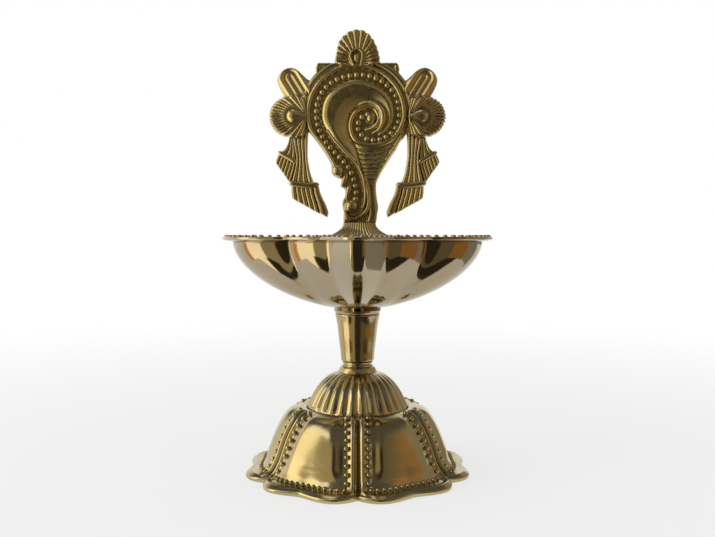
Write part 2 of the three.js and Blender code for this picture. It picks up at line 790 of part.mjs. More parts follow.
function topRosette() {
  const shape = new THREE.Shape();
  const steps = 36;
  const bottom = barTop - barDepth / 2;
  shape.moveTo(topRosetteRadius, bottom);
  for (let i = 0; i <= steps; i++) {
    const angle = Math.PI * i / steps;
    const radius = (topRosetteRadius - toothHeight) * toothed(angle, rosetteTeeth);
    shape.lineTo(radius * Math.cos(angle), topRosetteCentre + radius * Math.sin(angle));
  }
  shape.lineTo(-topRosetteRadius, bottom);
  const arch = plate(shape, plateThickness + reliefHeight);
  const boss = new THREE.SphereGeometry(ballRadius, 12, 6).scale(0.9, 1.3, 1);
  boss.translate(0, topRosetteCentre - topRosetteRise / 2, plateThickness + reliefHeight);
  return [arch, boss];
}

// An oblong leaf with round ends, lying from the plate up and out.
function leaf(side) {
  const shape = new THREE.Shape();
  shape.absarc(0, 0, leafRadius, Math.PI, 2 * Math.PI, false);
  shape.absarc(0, leafLength, leafRadius, 0, Math.PI, false);
  const body = plate(shape, plateThickness + reliefHeight / 2);
  body.rotateZ(-side * leafLean * degrees);
  return body.translate(...besideRosette(side, -leafInset, leafRise), 0);
}

function topBar() {
  const shape = new THREE.Shape(flat([
    [-barHalfWidth, barTop - barDepth],
    [barHalfWidth, barTop - barDepth],
    [barHalfWidth, barTop],
    [-barHalfWidth, barTop],
  ]));
  return plate(shape, plateThickness);
}

// A hanging ribbon with its tied fringe, and the shorter fringe at its side, in tail shares.
function ribbon(side) {
  const placed = (pairs) => pairs.map(([x, y]) => (
    besideRosette(side, x * tailShare - ribbonInset, y * tailShare)
  ));
  const long = new THREE.Shape(flat(placed([
    [-13.8, -12.2], [-13.6, -40.7], [-17.3, -61.1], [-22.6, -67.2], [-25.7, -75.4], [-32.6, -91.6],
    [-29.5, -94.3], [-17.3, -86.4], [-5.5, -79.8], [2.2, -75.4], [2, -40.7], [3.1, -12.2],
  ])));
  const short = new THREE.Shape(flat(placed([
    [0.6, -16.3], [0.6, -63.1], [7.7, -57], [16.7, -45.2], [13, -34.6], [7.7, -30.5], [3.7, -18.3],
  ])));
  const tieHeight = plateThickness + tieRadius / 2;
  return [
    plate(long, plateThickness + reliefHeight / 2),
    plate(short, plateThickness),
    ridge(placed([[2, -63.5], [-10.6, -65.6], [-23.2, -64.8]]), tieRadius, tieHeight + tieRadius / 2, 4),
    ridge(placed([[13, -35.2], [4.7, -40.7], [-0.4, -43.2]]), tieRadius, tieHeight, 3),
  ];
}

// The ring that runs on into a spiral, ending round the eye of the shell.
function spiralRidge() {
  const points = [
    onShell(-0.46, -1.04), onShell(-0.58, -0.88), onShell(-0.7, -0.71), onShell(-0.83, -0.56),
    onShell(-0.93, -0.38),
  ];
  for (let angle = 182; angle > -10; angle -= 16) {
    points.push([
      ringRadius * Math.cos(angle * degrees) - ringSetLeft,
      ringRadius * Math.sin(angle * degrees),
    ]);
  }
  points.push(
    onShell(0.86, -0.35), onShell(0.65, -0.56), onShell(0.36, -0.64), onShell(0.06, -0.6),
    onShell(-0.11, -0.44), onShell(-0.15, -0.2), onShell(-0.03, 0.07), onShell(0.21, 0.17),
    onShell(0.4, 0.09), onShell(0.45, -0.08), onShell(0.4, -0.21), onShell(0.24, -0.3),
  );
  return ridge(points, ridgeRadius, plateThickness + ridgeRadius / 3, 56);
}

// The smooth body of the shell, from its tip round the eye, over the top and down into the tail.
// Each station gives a point and half the body's width there, in shares of the ring's radius.
function shellBody() {
  const round = [
    [0.23, -0.43, 0.04], [0.44, -0.38, 0.06], [0.62, -0.21, 0.08], [0.68, 0.06, 0.12],
    [0.55, 0.32, 0.18], [0.26, 0.47, 0.25], [-0.07, 0.46, 0.31], [-0.34, 0.26, 0.32],
    [-0.46, -0.11, 0.3], [-0.35, -0.49, 0.23], [-0.16, -0.78, 0.16], [0.03, -1.06, 0.1],
  ].map(([x, y, width]) => [...onShell(x, y), width * ringRadius]);
  const lower = [
    [4.1, 38.9, 3.3], [5.5, 22.6, 3.1], [2.2, 10.4, 2.4],
  ].map(([x, y, width]) => [...onTail(x * tailShare, y), width * tailShare]);
  return swelling([...round, ...lower], plateThickness, bodyHeight);
}

function tailTube() {
  const points = [[6.9, 38.9], [9, 26.7], [8.8, 16.5], [2.9, 6.3], [-4.9, 4.3], [-11.2, 7.1]];
  return ridge(
    points.map(([x, y]) => onTail(x * tailShare, y)), tubeRadius, plateThickness + tubeRadius / 2, 12,
  );
}

const ball = (radius, [x, y]) => new THREE.SphereGeometry(radius, 12, 6).translate(x, y, plateThickness);

function plaque() {
  const tenon = new THREE.BoxGeometry(2 * tenonHalfWidth, 2 * tenonLength, tenonThickness);
  tenon.translate(plaqueShift, -tailLength, tenonThickness / 2);
  return joined([
    mainPlate(),
    topBar(),
    ...topRosette(),
    ...[1, -1].flatMap((side) => [...sideRosette(side), leaf(side), ...ribbon(side)]),
    spiralRidge(),
    shellBody(),
    tailTube(),
    ball(eyeRadius, onShell(0.28, -0.08)),
    ball(ballRadius, onShell(-0.4, -1.19)),
    ball(ballRadius, onTail(-7.1 * tailShare, 15.5)),
    tenon,
  ]);
}

const lamp = new THREE.Group();
lamp.add(
  namedMesh('foot_skirt', footSkirt(), metals.foot),
  namedMesh('foot_dome', footDome(), metals.foot),
  namedMesh('stem', stem(), metals.foot),
  namedMesh('bowl_boss', bowlBoss(), metals.bowl),
  namedMesh('bowl', bowl(), metals.bowl),
  namedMesh('tie_rod', tieRod(), metals.fastener),
  namedMesh('rod_washer', rodWasher(), metals.fastener),
  namedMesh('rod_nut', rodNut(), metals.fastener),
  namedMesh('plaque_foot', plaqueFoot(), metals.plaque),
);
screwPlaces().forEach((place, i) => {
  lamp.add(namedMesh(`plaque_screw_${i ? 'right' : 'left'}`, plaqueScrew(place), metals.fastener));
});

const upright = new THREE.Group();
upright.position.set(0, plaqueDistance + tenonThickness / 2, flangeTop + footHeight + tailLength);
upright.rotation.x = Math.PI / 2;
upright.add(namedMesh('plaque', plaque(), metals.plaque));
lamp.add(upright);

export default lamp;
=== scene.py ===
"""A footed brass oil lamp: petalled foot, fluted dome, turned stem, lobed bowl and shell plaque.

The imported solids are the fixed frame. Each class here holds the sizes of one sub-assembly in
millimetres, builds its meshes around that frame and dresses them in a brass of its own.
"""

import logging
import math
from dataclasses import dataclass
from enum import Enum
from typing import Callable, Sequence

import bpy
import numpy as np
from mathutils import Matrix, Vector
from mathutils.geometry import delaunay_2d_cdt


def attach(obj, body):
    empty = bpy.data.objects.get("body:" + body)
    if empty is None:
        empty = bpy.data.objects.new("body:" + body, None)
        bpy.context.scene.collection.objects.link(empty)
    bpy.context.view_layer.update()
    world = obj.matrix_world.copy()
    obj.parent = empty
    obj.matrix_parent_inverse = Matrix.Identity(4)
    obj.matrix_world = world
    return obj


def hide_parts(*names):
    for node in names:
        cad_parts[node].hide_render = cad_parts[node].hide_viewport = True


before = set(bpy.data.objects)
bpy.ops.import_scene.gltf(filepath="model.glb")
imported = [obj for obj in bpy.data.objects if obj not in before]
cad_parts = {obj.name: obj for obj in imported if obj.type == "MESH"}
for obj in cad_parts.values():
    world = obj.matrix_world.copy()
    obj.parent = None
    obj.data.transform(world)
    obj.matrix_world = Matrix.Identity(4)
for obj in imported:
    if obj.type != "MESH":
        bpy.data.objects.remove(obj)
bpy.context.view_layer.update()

MM = 0.001
TURN = 2 * math.pi
BODY = "root"
LOG = logging.getLogger("oil_lamp")

Colour = tuple[float, float, float]
Skin = tuple[np.ndarray, list]


class Slot(Enum):
    """Material slots of the record."""

    BOWL = "bowl_brass"
    FOOT = "foot_brass"
    PLAQUE = "plaque_brass"
    FASTENER = "fastener_brass"


class Polish(Enum):
    """How a surface was worked: the stretch of its fine marks along X, Y and Z."""

    CAST = (1.0, 1.0, 1.0)
    TURNED = (1.0, 1.0, 14.0)


class NodePen:
    """Writes nodes into a tree and wires each as it is made."""

    def __init__(self, tree: bpy.types.NodeTree) -> None:
        """Starts on a tree."""
        self.tree = tree

    @classmethod
    def afresh(cls, owner: bpy.types.Material | bpy.types.World) -> "NodePen":
        """Empties the tree of a material or world.

        Args:
            owner: What the tree belongs to.

        Returns:
            A pen for the empty tree.
        """
        owner.use_nodes = True
        owner.node_tree.nodes.clear()
        return cls(owner.node_tree)

    def feed(self, socket: bpy.types.NodeSocket, value: object) -> None:
        """Wires an input or sets its value.

        Args:
            socket: The input.
            value: The output that feeds it, a node whose first output does, or its value.
        """
        if isinstance(value, bpy.types.Node):
            value = value.outputs[0]
        if isinstance(value, bpy.types.NodeSocket):
            self.tree.links.new(value, socket)
        else:
            socket.default_value = value

    def put(self, kind: str, inputs: dict | None = None, **settings: object) -> bpy.types.Node:
        """Adds one node.

        Args:
            kind: Blender's name for the node type.
            inputs: Socket name or number to a value or to the output that feeds it.
            settings: Properties of the node itself.

        Returns:
            The new node.
        """
        node = self.tree.nodes.new(kind)
        for name, value in settings.items():
            setattr(node, name, value)
        for key, value in (inputs or {}).items():
            self.feed(node.inputs[key], value)
        return node

    def sum(self, operation: str, first: object, second: object = 0.0) -> bpy.types.NodeSocket:
        """Adds a Math node of a tree of either kind."""
        return self.put("ShaderNodeMath", {0: first, 1: second}, operation=operation).outputs[0]

    def step(self, value: object, low: float, high: float, bottom: float = 0.0,
             top: float = 1.0) -> bpy.types.NodeSocket:
        """Maps a value smoothly from one range to another.

        Args:
            value: The socket to map.
            low: Value at which the result is bottom.
            high: Value at which the result is top.
            bottom: Result at low.
            top: Result at high.

        Returns:
            The mapped output.
        """
        values = {"Value": value, "From Min": low, "From Max": high, "To Min": bottom,
                  "To Max": top}
        node = self.put("ShaderNodeMapRange", values, interpolation_type="SMOOTHSTEP")
        return node.outputs["Result"]

    def mix(self, share: object, first: object, second: object) -> bpy.types.NodeSocket:
        """Mixes two colours.

        Args:
            share: How much of the second one shows.
            first: Colour or socket.
            second: Colour or socket.

        Returns:
            The mixed colour's output.
        """
        node = self.put("ShaderNodeMix", {0: share}, data_type="RGBA")
        for key, value in ((6, first), (7, second)):
            wired = isinstance(value, bpy.types.NodeSocket)
            self.feed(node.inputs[key], value if wired else (*value, 1.0))
        return node.outputs[2]

    def noise(self, place: object, scale: float, detail: float,
              roughness: float = 0.5) -> bpy.types.NodeSocket:
        """Adds a noise texture."""
        return self.put("ShaderNodeTexNoise", {"Vector": place, "Scale": scale, "Detail": detail,
                                               "Roughness": roughness}).outputs[0]


@dataclass(frozen=True)
class BrassFinish:
    """One brass: its metal, what has settled in its hollows along with any painted shade its piece
    holds, and how it was worked.
    """

    name: str
    slot: Slot
    metal: Colour
    second: Colour
    patina: Colour
    crest: Colour
    roughness: float
    patina_roughness: float
    patina_share: float = 0.8
    crest_share: float = 0.5
    mottle_scale: float = 45.0
    unevenness: float = 0.05
    unevenness_scale: float = 110.0
    grain: float = 0.003
    grain_scale: float = 1400.0
    polish: Polish = Polish.CAST

    def material(self) -> bpy.types.Material:
        """Builds the finish once and returns it after that.

        Returns:
            The material.
        """
        if self.name in bpy.data.materials:
            return bpy.data.materials[self.name]
        made = bpy.data.materials.new(self.name)
        pen = NodePen.afresh(made)
        place = pen.put("ShaderNodeTexCoord").outputs["Object"]
        relief = pen.put("ShaderNodeAttribute", attribute_name="relief").outputs["Fac"]
        mottle = pen.noise(place, self.mottle_scale, 5.0)
        worked = pen.put("ShaderNodeMapping", {"Vector": place, "Scale": self.polish.value})
        grain = pen.noise(worked, self.grain_scale, 3.0)
        uneven = pen.noise(place, self.unevenness_scale, 1.5)
        smudge = pen.noise(place, 5 * self.mottle_scale, 6.0, 0.65)
        # Patina in the hollows; painted shade held in a piece's relief attribute darkens through
        # the same patina colour.
        hollow = pen.step(relief, 0.04, 0.75, 0.0, self.patina_share)
        crest = pen.step(relief, -0.08, -0.7, 0.0, self.crest_share)
        patchy = pen.sum("MULTIPLY", hollow, pen.step(smudge, 0.2, 0.6, 0.7, 1.0))
        metal = pen.mix(pen.step(mottle, 0.35, 0.65), self.metal, self.second)
        colour = pen.mix(crest, pen.mix(patchy, metal, self.patina), self.crest)
        clean = pen.step(smudge, 0.3, 0.75, self.roughness, 1.5 * self.roughness)
        dull = pen.sum("MULTIPLY", patchy, self.patina_roughness - self.roughness)
        rough = pen.sum("ADD", clean, dull)
        waves = pen.put("ShaderNodeBump", {"Height": uneven, "Strength": 1.0,
                                           "Distance": self.unevenness * MM})
        marks = pen.put("ShaderNodeBump", {"Height": grain, "Strength": 1.0,
                                           "Distance": self.grain * MM,
                                           "Normal": waves})
        shader = pen.put("ShaderNodeBsdfPrincipled", {"Base Color": colour, "Metallic": 1.0,
                                                      "Roughness": rough,
                                                      "Normal": marks})
        pen.put("ShaderNodeOutputMaterial", {"Surface": shader})
        return made


BOWL_BRASS = BrassFinish(
    "bowl_mirror_brass", Slot.BOWL, metal=(0.43, 0.355, 0.235), second=(0.39, 0.32, 0.205),
    patina=(0.20, 0.13, 0.05), crest=(0.70, 0.62, 0.47), roughness=0.08, patina_roughness=0.35,
    patina_share=0.55, mottle_scale=28.0, unevenness=0.035, unevenness_scale=60.0)
FOOT_BRASS = BrassFinish(
    "foot_golden_brass", Slot.FOOT, metal=(0.53, 0.44, 0.24), second=(0.46, 0.375, 0.19),
    patina=(0.13, 0.085, 0.03), crest=(0.76, 0.66, 0.40), roughness=0.15, patina_roughness=0.45,
    patina_share=0.85, crest_share=0.55, unevenness=0.08, unevenness_scale=95.0)
STEM_BRASS = BrassFinish(
    "stem_turned_brass", Slot.FOOT, metal=(0.47, 0.38, 0.21), second=(0.42, 0.34, 0.175),
    patina=(0.12, 0.08, 0.03), crest=(0.76, 0.66, 0.40), roughness=0.13, patina_roughness=0.45,
    unevenness=0.02, grain=0.004, grain_scale=240.0, polish=Polish.TURNED)
PLAQUE_BRASS = BrassFinish(
    "plaque_antique_brass", Slot.PLAQUE, metal=(0.58, 0.47, 0.235), second=(0.50, 0.40, 0.19),
    patina=(0.10, 0.07, 0.03), crest=(0.82, 0.74, 0.50), roughness=0.22, patina_roughness=0.5,
    patina_share=0.85, crest_share=0.75, unevenness=0.08, unevenness_scale=160.0, grain=0.002)
FASTENER_BRASS = BrassFinish(
    "fastener_brass", Slot.FASTENER, metal=(0.50, 0.40, 0.22), second=(0.44, 0.34, 0.17),
    patina=(0.12, 0.08, 0.04), crest=(0.62, 0.52, 0.32), roughness=0.34, patina_roughness=0.5,
    grain_scale=500.0, polish=Polish.TURNED)


def eased(low: float, high: float, value: np.ndarray) -> np.ndarray:
    """Smooth step from 0 to 1."""
    share = np.clip((np.asarray(value, float) - low) / (high - low), 0.0, 1.0)
    return share * share * (3 - 2 * share)


def bell(value: np.ndarray, middle: float, width: float) -> np.ndarray:
    """A bell curve of height 1."""
    return np.exp(-(((value - middle) / width) ** 2))


def rounded(away: np.ndarray, power: float = 2.0) -> np.ndarray:
    """Height of a round crest of height 1."""
    return np.sqrt(np.clip(1 - away ** power, 0, 1))


def rib_wave(phase: np.ndarray) -> np.ndarray:
    """Section of a row of round ribs: 0 between them, at whole numbers, and 1 on each crest."""
    return np.sqrt(np.abs(np.sin(math.pi * phase)))


def polar(angle: np.ndarray, reach: np.ndarray | float, *height: np.ndarray | float) -> np.ndarray:
    """Points round an axis."""
    level = [np.broadcast_to(value, np.shape(angle)) for value in height]
    return np.stack([reach * np.cos(angle), reach * np.sin(angle), *level], axis=-1)


def run_length(line: np.ndarray) -> np.ndarray:
    """Distance along a line from its start to each of its points."""
    return np.concatenate([[0], np.cumsum(np.linalg.norm(np.diff(line, axis=0), axis=1))])


def bezier(corners: Sequence[Sequence[float]], count: int) -> np.ndarray:
    """Samples a cubic curve.

    Args:
        corners: Its four control points.
        count: Number of samples.

    Returns:
        The samples, ends included.
    """
    share = np.linspace(0, 1, count)[:, None]
    a, b, c, d = (np.array(corner, float) for corner in corners)
    rest = 1 - share
    return rest ** 3 * a + 3 * rest ** 2 * share * b + 3 * rest * share ** 2 * c + share ** 3 * d


def smooth_line(stations: Sequence[Sequence[float]], per_span: int = 12) -> np.ndarray:
    """Runs a smooth line through stations of any number of values each.

    Args:
        stations: The points that it passes through.
        per_span: Samples from one station to the next.

    Returns:
        The samples.
    """
    known = np.array(stations, float)
    padded = np.vstack([2 * known[0] - known[1], known, 2 * known[-1] - known[-2]])
    share = np.arange(per_span)[:, None] / per_span
    spans = []
    for a, b, c, d in zip(padded, padded[1:], padded[2:], padded[3:]):
        spans.append(0.5 * (2 * b + (c - a) * share + (2 * a - 5 * b + 4 * c - d) * share ** 2
                            + (3 * b - 3 * c + d - a) * share ** 3))
    return np.vstack([*spans, known[-1:]])


def sampled(stops: np.ndarray, marks: np.ndarray, rows: np.ndarray) -> np.ndarray:
    """Reads each column of a table between its rows."""
    return np.stack([np.interp(stops, marks, column) for column in rows.T], axis=1)


def even_line(line: np.ndarray, pitch: float, closed: bool = False) -> np.ndarray:
    """Spreads points evenly along a line.

    Args:
        line: The line's points.
        pitch: Distance wanted between neighbours.
        closed: Whether the line returns to its start, which isn't repeated in the result.

    Returns:
        The evenly spread points.
    """
    whole = np.vstack([line, line[:1]]) if closed else line
    reach = run_length(whole)
    stops = np.linspace(0, reach[-1], max(2, round(reach[-1] / pitch)) + 1)
    return sampled(stops[:-1] if closed else stops, reach, whole)


def line_distance(points: np.ndarray, line: np.ndarray, closed: bool = False) -> np.ndarray:
    """Distance from points in a plane to a line of straight pieces.

    Args:
        points: The points, two values each.
        line: The line's corners.
        closed: Whether the last corner joins the first.

    Returns:
        One distance for each point.
    """
    ends = np.roll(line, -1, axis=0) if closed else line[1:]
    nearest = np.full(len(points), 1e9)
    for start, end in zip(line, ends):
        along = end - start
        share = np.clip((points - start) @ along / max(along @ along, 1e-12), 0, 1)
        away = points - start - share[:, None] * along
        nearest = np.minimum(nearest, (away ** 2).sum(axis=1))
    return np.sqrt(nearest)


def inside(points: np.ndarray, outline: np.ndarray) -> np.ndarray:
    """Says which points of a plane lie inside a closed outline.

    Args:
        points: The points, two values each.
        outline: The outline's corners.

    Returns:
        True or False for each point.
    """
    within = np.zeros(len(points), bool)
    for (x0, y0), (x1, y1) in zip(outline, np.roll(outline, -1, axis=0)):
        if y0 == y1:
            continue
        crosses = (points[:, 1] > y0) != (points[:, 1] > y1)
        within ^= crosses & (points[:, 0] < x0 + (points[:, 1] - y0) * (x1 - x0) / (y1 - y0))
    return within


def swollen(points: np.ndarray, stations: Sequence[Sequence[float]],
            power: float = 2.0) -> np.ndarray:
    """Height of a swelling that runs along a line, steep at its border and flat on its crest.

    Args:
        points: Where to read the height.
        stations: x, y, half width and height along the line.
        power: 2 gives a round section, more a flatter one.

    Returns:
        The height at each point, 0 outside the swelling.
    """
    height = np.zeros(len(points))
    for x, y, width, crest in smooth_line(stations):
        away = np.hypot(points[:, 0] - x, points[:, 1] - y) / max(width, 0.05)
        height = np.maximum(height, crest * rounded(away, power))
    return height


def blended(first: np.ndarray, second: np.ndarray, radius: float = 0.3) -> np.ndarray:
    """The higher of two reliefs with a small fillet where they meet."""
    near = np.clip(radius - np.abs(first - second), 0, None) / radius
    return np.maximum(first, second) + near * near * radius / 4


def skin_rings(rings: np.ndarray, looped: bool) -> Skin:
    """Skins a stack of closed rings.

    Args:
        rings: Rings, points, and the three coordinates.
        looped: Whether the last ring joins the first; otherwise both ends get a fan.

    Returns:
        Points and faces.
    """
    count, around = rings.shape[:2]
    points = rings.reshape(-1, 3)
    steps = np.arange(count if looped else count - 1)
    low = steps[:, None] * around
    high = ((steps + 1) % count)[:, None] * around
    here = np.arange(around)[None]
    after = (here + 1) % around
    faces = np.stack([low + here, low + after, high + after, high + here], axis=-1)
    faces = faces.reshape(-1, 4).tolist()
    if not looped:
        for ring, turned in ((0, True), (count - 1, False)):
            centre = len(points)
            points = np.vstack([points, rings[ring].mean(axis=0)])
            for j in range(around):
                pair = (ring * around + j, ring * around + (j + 1) % around)
                faces.append([centre, *(pair[::-1] if turned else pair)])
    return points, faces


def joined(skins: Sequence[Skin]) -> Skin:
    """Puts several closed skins into one mesh.

    Args:
        skins: Points and faces of each.

    Returns:
        Points and faces of all.
    """
    points, faces, start = [], [], 0
    for own, own_faces in skins:
        points.append(own)
        faces += [[start + corner for corner in face] for face in own_faces]
        start += len(own)
    return np.vstack(points), faces


def read_all(items: bpy.types.bpy_prop_collection, name: str, width: int,
             kind: type = np.float32) -> np.ndarray:
    """Reads a property of every item of a mesh.

    Args:
        items: The vertices, edges, faces or values.
        name: The property's name.
        width: Number of values in each.
        kind: Kind of its values.

    Returns:
        One row for each item.
    """
    values = np.empty(len(items) * width, kind)
    items.foreach_get(name, values)
    return values.reshape(-1, width)


def linked(name: str, data: bpy.types.ID) -> bpy.types.Object:
    """Puts a new object into the scene.

    Args:
        name: Its name.
        data: Its mesh, curve, light or camera.

    Returns:
        The object.
    """
    made = bpy.data.objects.new(name, data)
    bpy.context.scene.collection.objects.link(made)
    return made


def mark_relief(mesh: bpy.types.Mesh, reach: float, spread: int) -> None:
    """Stores how hollow (above 0) or proud (below 0) the surface is at each vertex.

    Args:
        mesh: The mesh to mark.
        reach: Radius in millimetres of a hollow that counts as fully hollow.
        spread: How many times the value is passed on to the neighbours.
    """
    count = len(mesh.vertices)
    place = read_all(mesh.vertices, "co", 3)
    normal = read_all(mesh.vertex_normals, "vector", 3)
    a, b = read_all(mesh.edges, "vertices", 2, np.int32).T
    along = place[b] - place[a]
    square = np.maximum((along ** 2).sum(axis=1), 1e-14)
    lift_a = (normal[a] * along).sum(axis=1) / square
    lift_b = -(normal[b] * along).sum(axis=1) / square
    ends = np.concatenate([a, b])
    met = np.maximum(np.bincount(ends, minlength=count), 1)
    value = np.bincount(ends, np.concatenate([lift_a, lift_b]), count) / met
    value = np.tanh(value * reach * MM)
    for _ in range(spread):
        passed = np.bincount(ends, np.concatenate([value[b], value[a]]), count) / met
        value = 0.5 * (value + passed)
    kept = mesh.attributes.get("relief") or mesh.attributes.new("relief", "FLOAT", "POINT")
    # Adds the painted shade that the piece may already hold in this attribute.
    painted_shade = read_all(kept.data, "value", 1)[:, 0]
    kept.data.foreach_set("value", np.clip(value + painted_shade, -1, 1).astype(np.float32))


def signed_volume(mesh: bpy.types.Mesh) -> float:
    """Volume that a closed mesh encloses, below 0 where its faces look inward.

    Args:
        mesh: The mesh.

    Returns:
        The signed volume.
    """
    mesh.calc_loop_triangles()
    corner = read_all(mesh.loop_triangles, "vertices", 3, np.int32)
    a, b, c = read_all(mesh.vertices, "co", 3)[corner].transpose(1, 0, 2).astype(float)
    return float((a * np.cross(b, c)).sum() / 6)


@dataclass
class Piece:
    """A finished mesh on its way into the scene."""

    name: str
    finish: BrassFinish
    crease: float = 50.0
    reach: float = 0.8
    spread: int = 2

    def from_skin(self, skin: Skin, *replaced: str,
                  painted_shade: np.ndarray | None = None) -> bpy.types.Object:
        """Makes the piece from points in millimetres.

        Args:
            skin: Points and faces.
            replaced: CAD nodes that the piece stands for.
            painted_shade: Painted shade of each point, from 0 to 1, darkening it as the patina
                does.

        Returns:
            The placed object.
        """
        points, faces = skin
        mesh = bpy.data.meshes.new(self.name)
        mesh.from_pydata((points * MM).tolist(), [], faces)
        mesh.update()
        # The painted shade goes into the relief attribute, which the brass turns into patina
        # colour.
        if painted_shade is not None:
            held = mesh.attributes.new("relief", "FLOAT", "POINT")
            held.data.foreach_set("value", painted_shade.astype(np.float32))
        return self.from_mesh(mesh, *replaced)

    def from_mesh(self, mesh: bpy.types.Mesh, *replaced: str) -> bpy.types.Object:
        """Makes the piece from a mesh that already lies in place.

        Args:
            mesh: The mesh, in metres.
            replaced: CAD nodes that the piece stands for.

        Returns:
            The placed object.
        """
        if signed_volume(mesh) < 0:
            mesh.flip_normals()
        mesh.shade_smooth()
        mesh.set_sharp_from_angle(angle=math.radians(self.crease))
        mark_relief(mesh, self.reach, self.spread)
        mesh.materials.clear()
        mesh.materials.append(self.finish.material())
        placed = linked(self.name, mesh)
        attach(placed, BODY)
        if replaced:
            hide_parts(*replaced)
        LOG.info("%s: %d vertices, %d faces", self.name, len(mesh.vertices), len(mesh.polygons))
        return placed


class GrowingTree:
    """A geometry node tree with named inputs, and the way to turn its result into a mesh."""

    def __init__(self, name: str, inputs: dict[str, str]) -> None:
        """Makes the tree's sockets.

        Args:
            name: Name of the tree.
            inputs: Name of each input and the kind of its socket.
        """
        self.tree = bpy.data.node_groups.new(name, "GeometryNodeTree")
        self.sockets: dict[str, str] = {}
        self.tree.interface.new_socket("Geometry", in_out="INPUT",
                                       socket_type="NodeSocketGeometry")
        for title, kind in inputs.items():
            made = self.tree.interface.new_socket(title, in_out="INPUT", socket_type=kind)
            self.sockets[title] = made.identifier
        self.tree.interface.new_socket("Geometry", in_out="OUTPUT",
                                       socket_type="NodeSocketGeometry")
        self.pen = NodePen(self.tree)
        self.given = self.pen.put("NodeGroupInput").outputs

    def close(self, geometry: bpy.types.Node) -> None:
        """Ends the tree.

        Args:
            geometry: The node whose result the tree gives back.
        """
        real = self.pen.put("GeometryNodeRealizeInstances", {0: geometry})
        smooth = self.pen.put("GeometryNodeSetShadeSmooth", {0: real})
        dressed = self.pen.put("GeometryNodeSetMaterial", {"Geometry": smooth,
                                                           "Material": self.given["Material"]})
        self.pen.put("NodeGroupOutput", {0: dressed})

    def grow(self, seed: bpy.types.ID, **values: object) -> bpy.types.Mesh:
        """Runs the tree on a seed and keeps the mesh.

        Args:
            seed: Mesh or curve data that the tree starts from.
            values: Value of each named input, with _ for each space.

        Returns:
            The plain mesh.
        """
        holder = linked("growing", seed)
        modifier = holder.modifiers.new("grow", "NODES")
        modifier.node_group = self.tree
        for name, value in values.items():
            modifier[self.sockets[name.replace("_", " ")]] = value
        graph = bpy.context.evaluated_depsgraph_get()
        grown = bpy.data.meshes.new_from_object(holder.evaluated_get(graph))
        holder.modifiers.remove(modifier)
        bpy.data.objects.remove(holder)
        return grown


class BeadTree(GrowingTree):
    """Sets beads along curves."""

    def __init__(self) -> None:
        """Builds the tree."""
        super().__init__("beads_along_a_row", {
            "Pitch": "NodeSocketFloat", "Bead Radius": "NodeSocketFloat",
            "Outward": "NodeSocketFloat",
            "Unevenness": "NodeSocketFloat", "Seed": "NodeSocketInt",
            "Material": "NodeSocketMaterial"})
        pen, given = self.pen, self.given
        row = pen.put("GeometryNodeCurveToPoints",
                      {"Curve": given["Geometry"], "Length": given["Pitch"]},
                      mode="LENGTH")
        bead = pen.put("GeometryNodeMeshUVSphere", {"Segments": 10, "Rings": 6,
                                                    "Radius": given["Bead Radius"]})
        place = pen.put("GeometryNodeInputPosition")
        flat = pen.put("ShaderNodeVectorMath", {0: place, 1: (1.0, 1.0, 0.0)},
                       operation="MULTIPLY")
        turn = pen.put("FunctionNodeAlignRotationToVector", {"Vector": flat}, axis="X")
        less = pen.sum("SUBTRACT", 1.0, given["Unevenness"])
        more = pen.sum("ADD", 1.0, given["Unevenness"])
        size = pen.put("FunctionNodeRandomValue", {2: less, 3: more, "Seed": given["Seed"]},
                       data_type="FLOAT").outputs[1]
        stretch = pen.put("ShaderNodeCombineXYZ", {0: pen.sum("MULTIPLY", size, given["Outward"]),
                                                   1: size, 2: size})
        beads = pen.put("GeometryNodeInstanceOnPoints", {
            "Points": row.outputs["Points"], "Instance": bead, "Rotation": turn, "Scale": stretch})
        self.close(beads)

    def along(self, rows: Sequence[np.ndarray], closed: bool, finish: BrassFinish, pitch: float,
              radius: float, outward: float = 1.0, unevenness: float = 0.05) -> bpy.types.Mesh:
        """Sets beads along rows.

        Args:
            rows: Points of each row, in millimetres.
            closed: Whether each row returns to its start.
            finish: Brass of the beads.
            pitch: Distance between beads, in millimetres.
            radius: Radius of a bead, in millimetres.
            outward: Stretch of each bead away from the stem's axis.
            unevenness: Largest change of a bead's size.

        Returns:
            The beads as one mesh.
        """
        curve = bpy.data.curves.new("bead_rows", "CURVE")
        curve.dimensions = "3D"
        for row in rows:
            spline = curve.splines.new("POLY")
            spline.points.add(len(row) - 1)
            spline.points.foreach_set("co", np.hstack([row * MM, np.ones((len(row), 1))]).ravel())
            spline.use_cyclic_u = closed
        return self.grow(curve, Pitch=pitch * MM, Bead_Radius=radius * MM, Outward=outward,
                         Unevenness=unevenness, Seed=7, Material=finish.material())


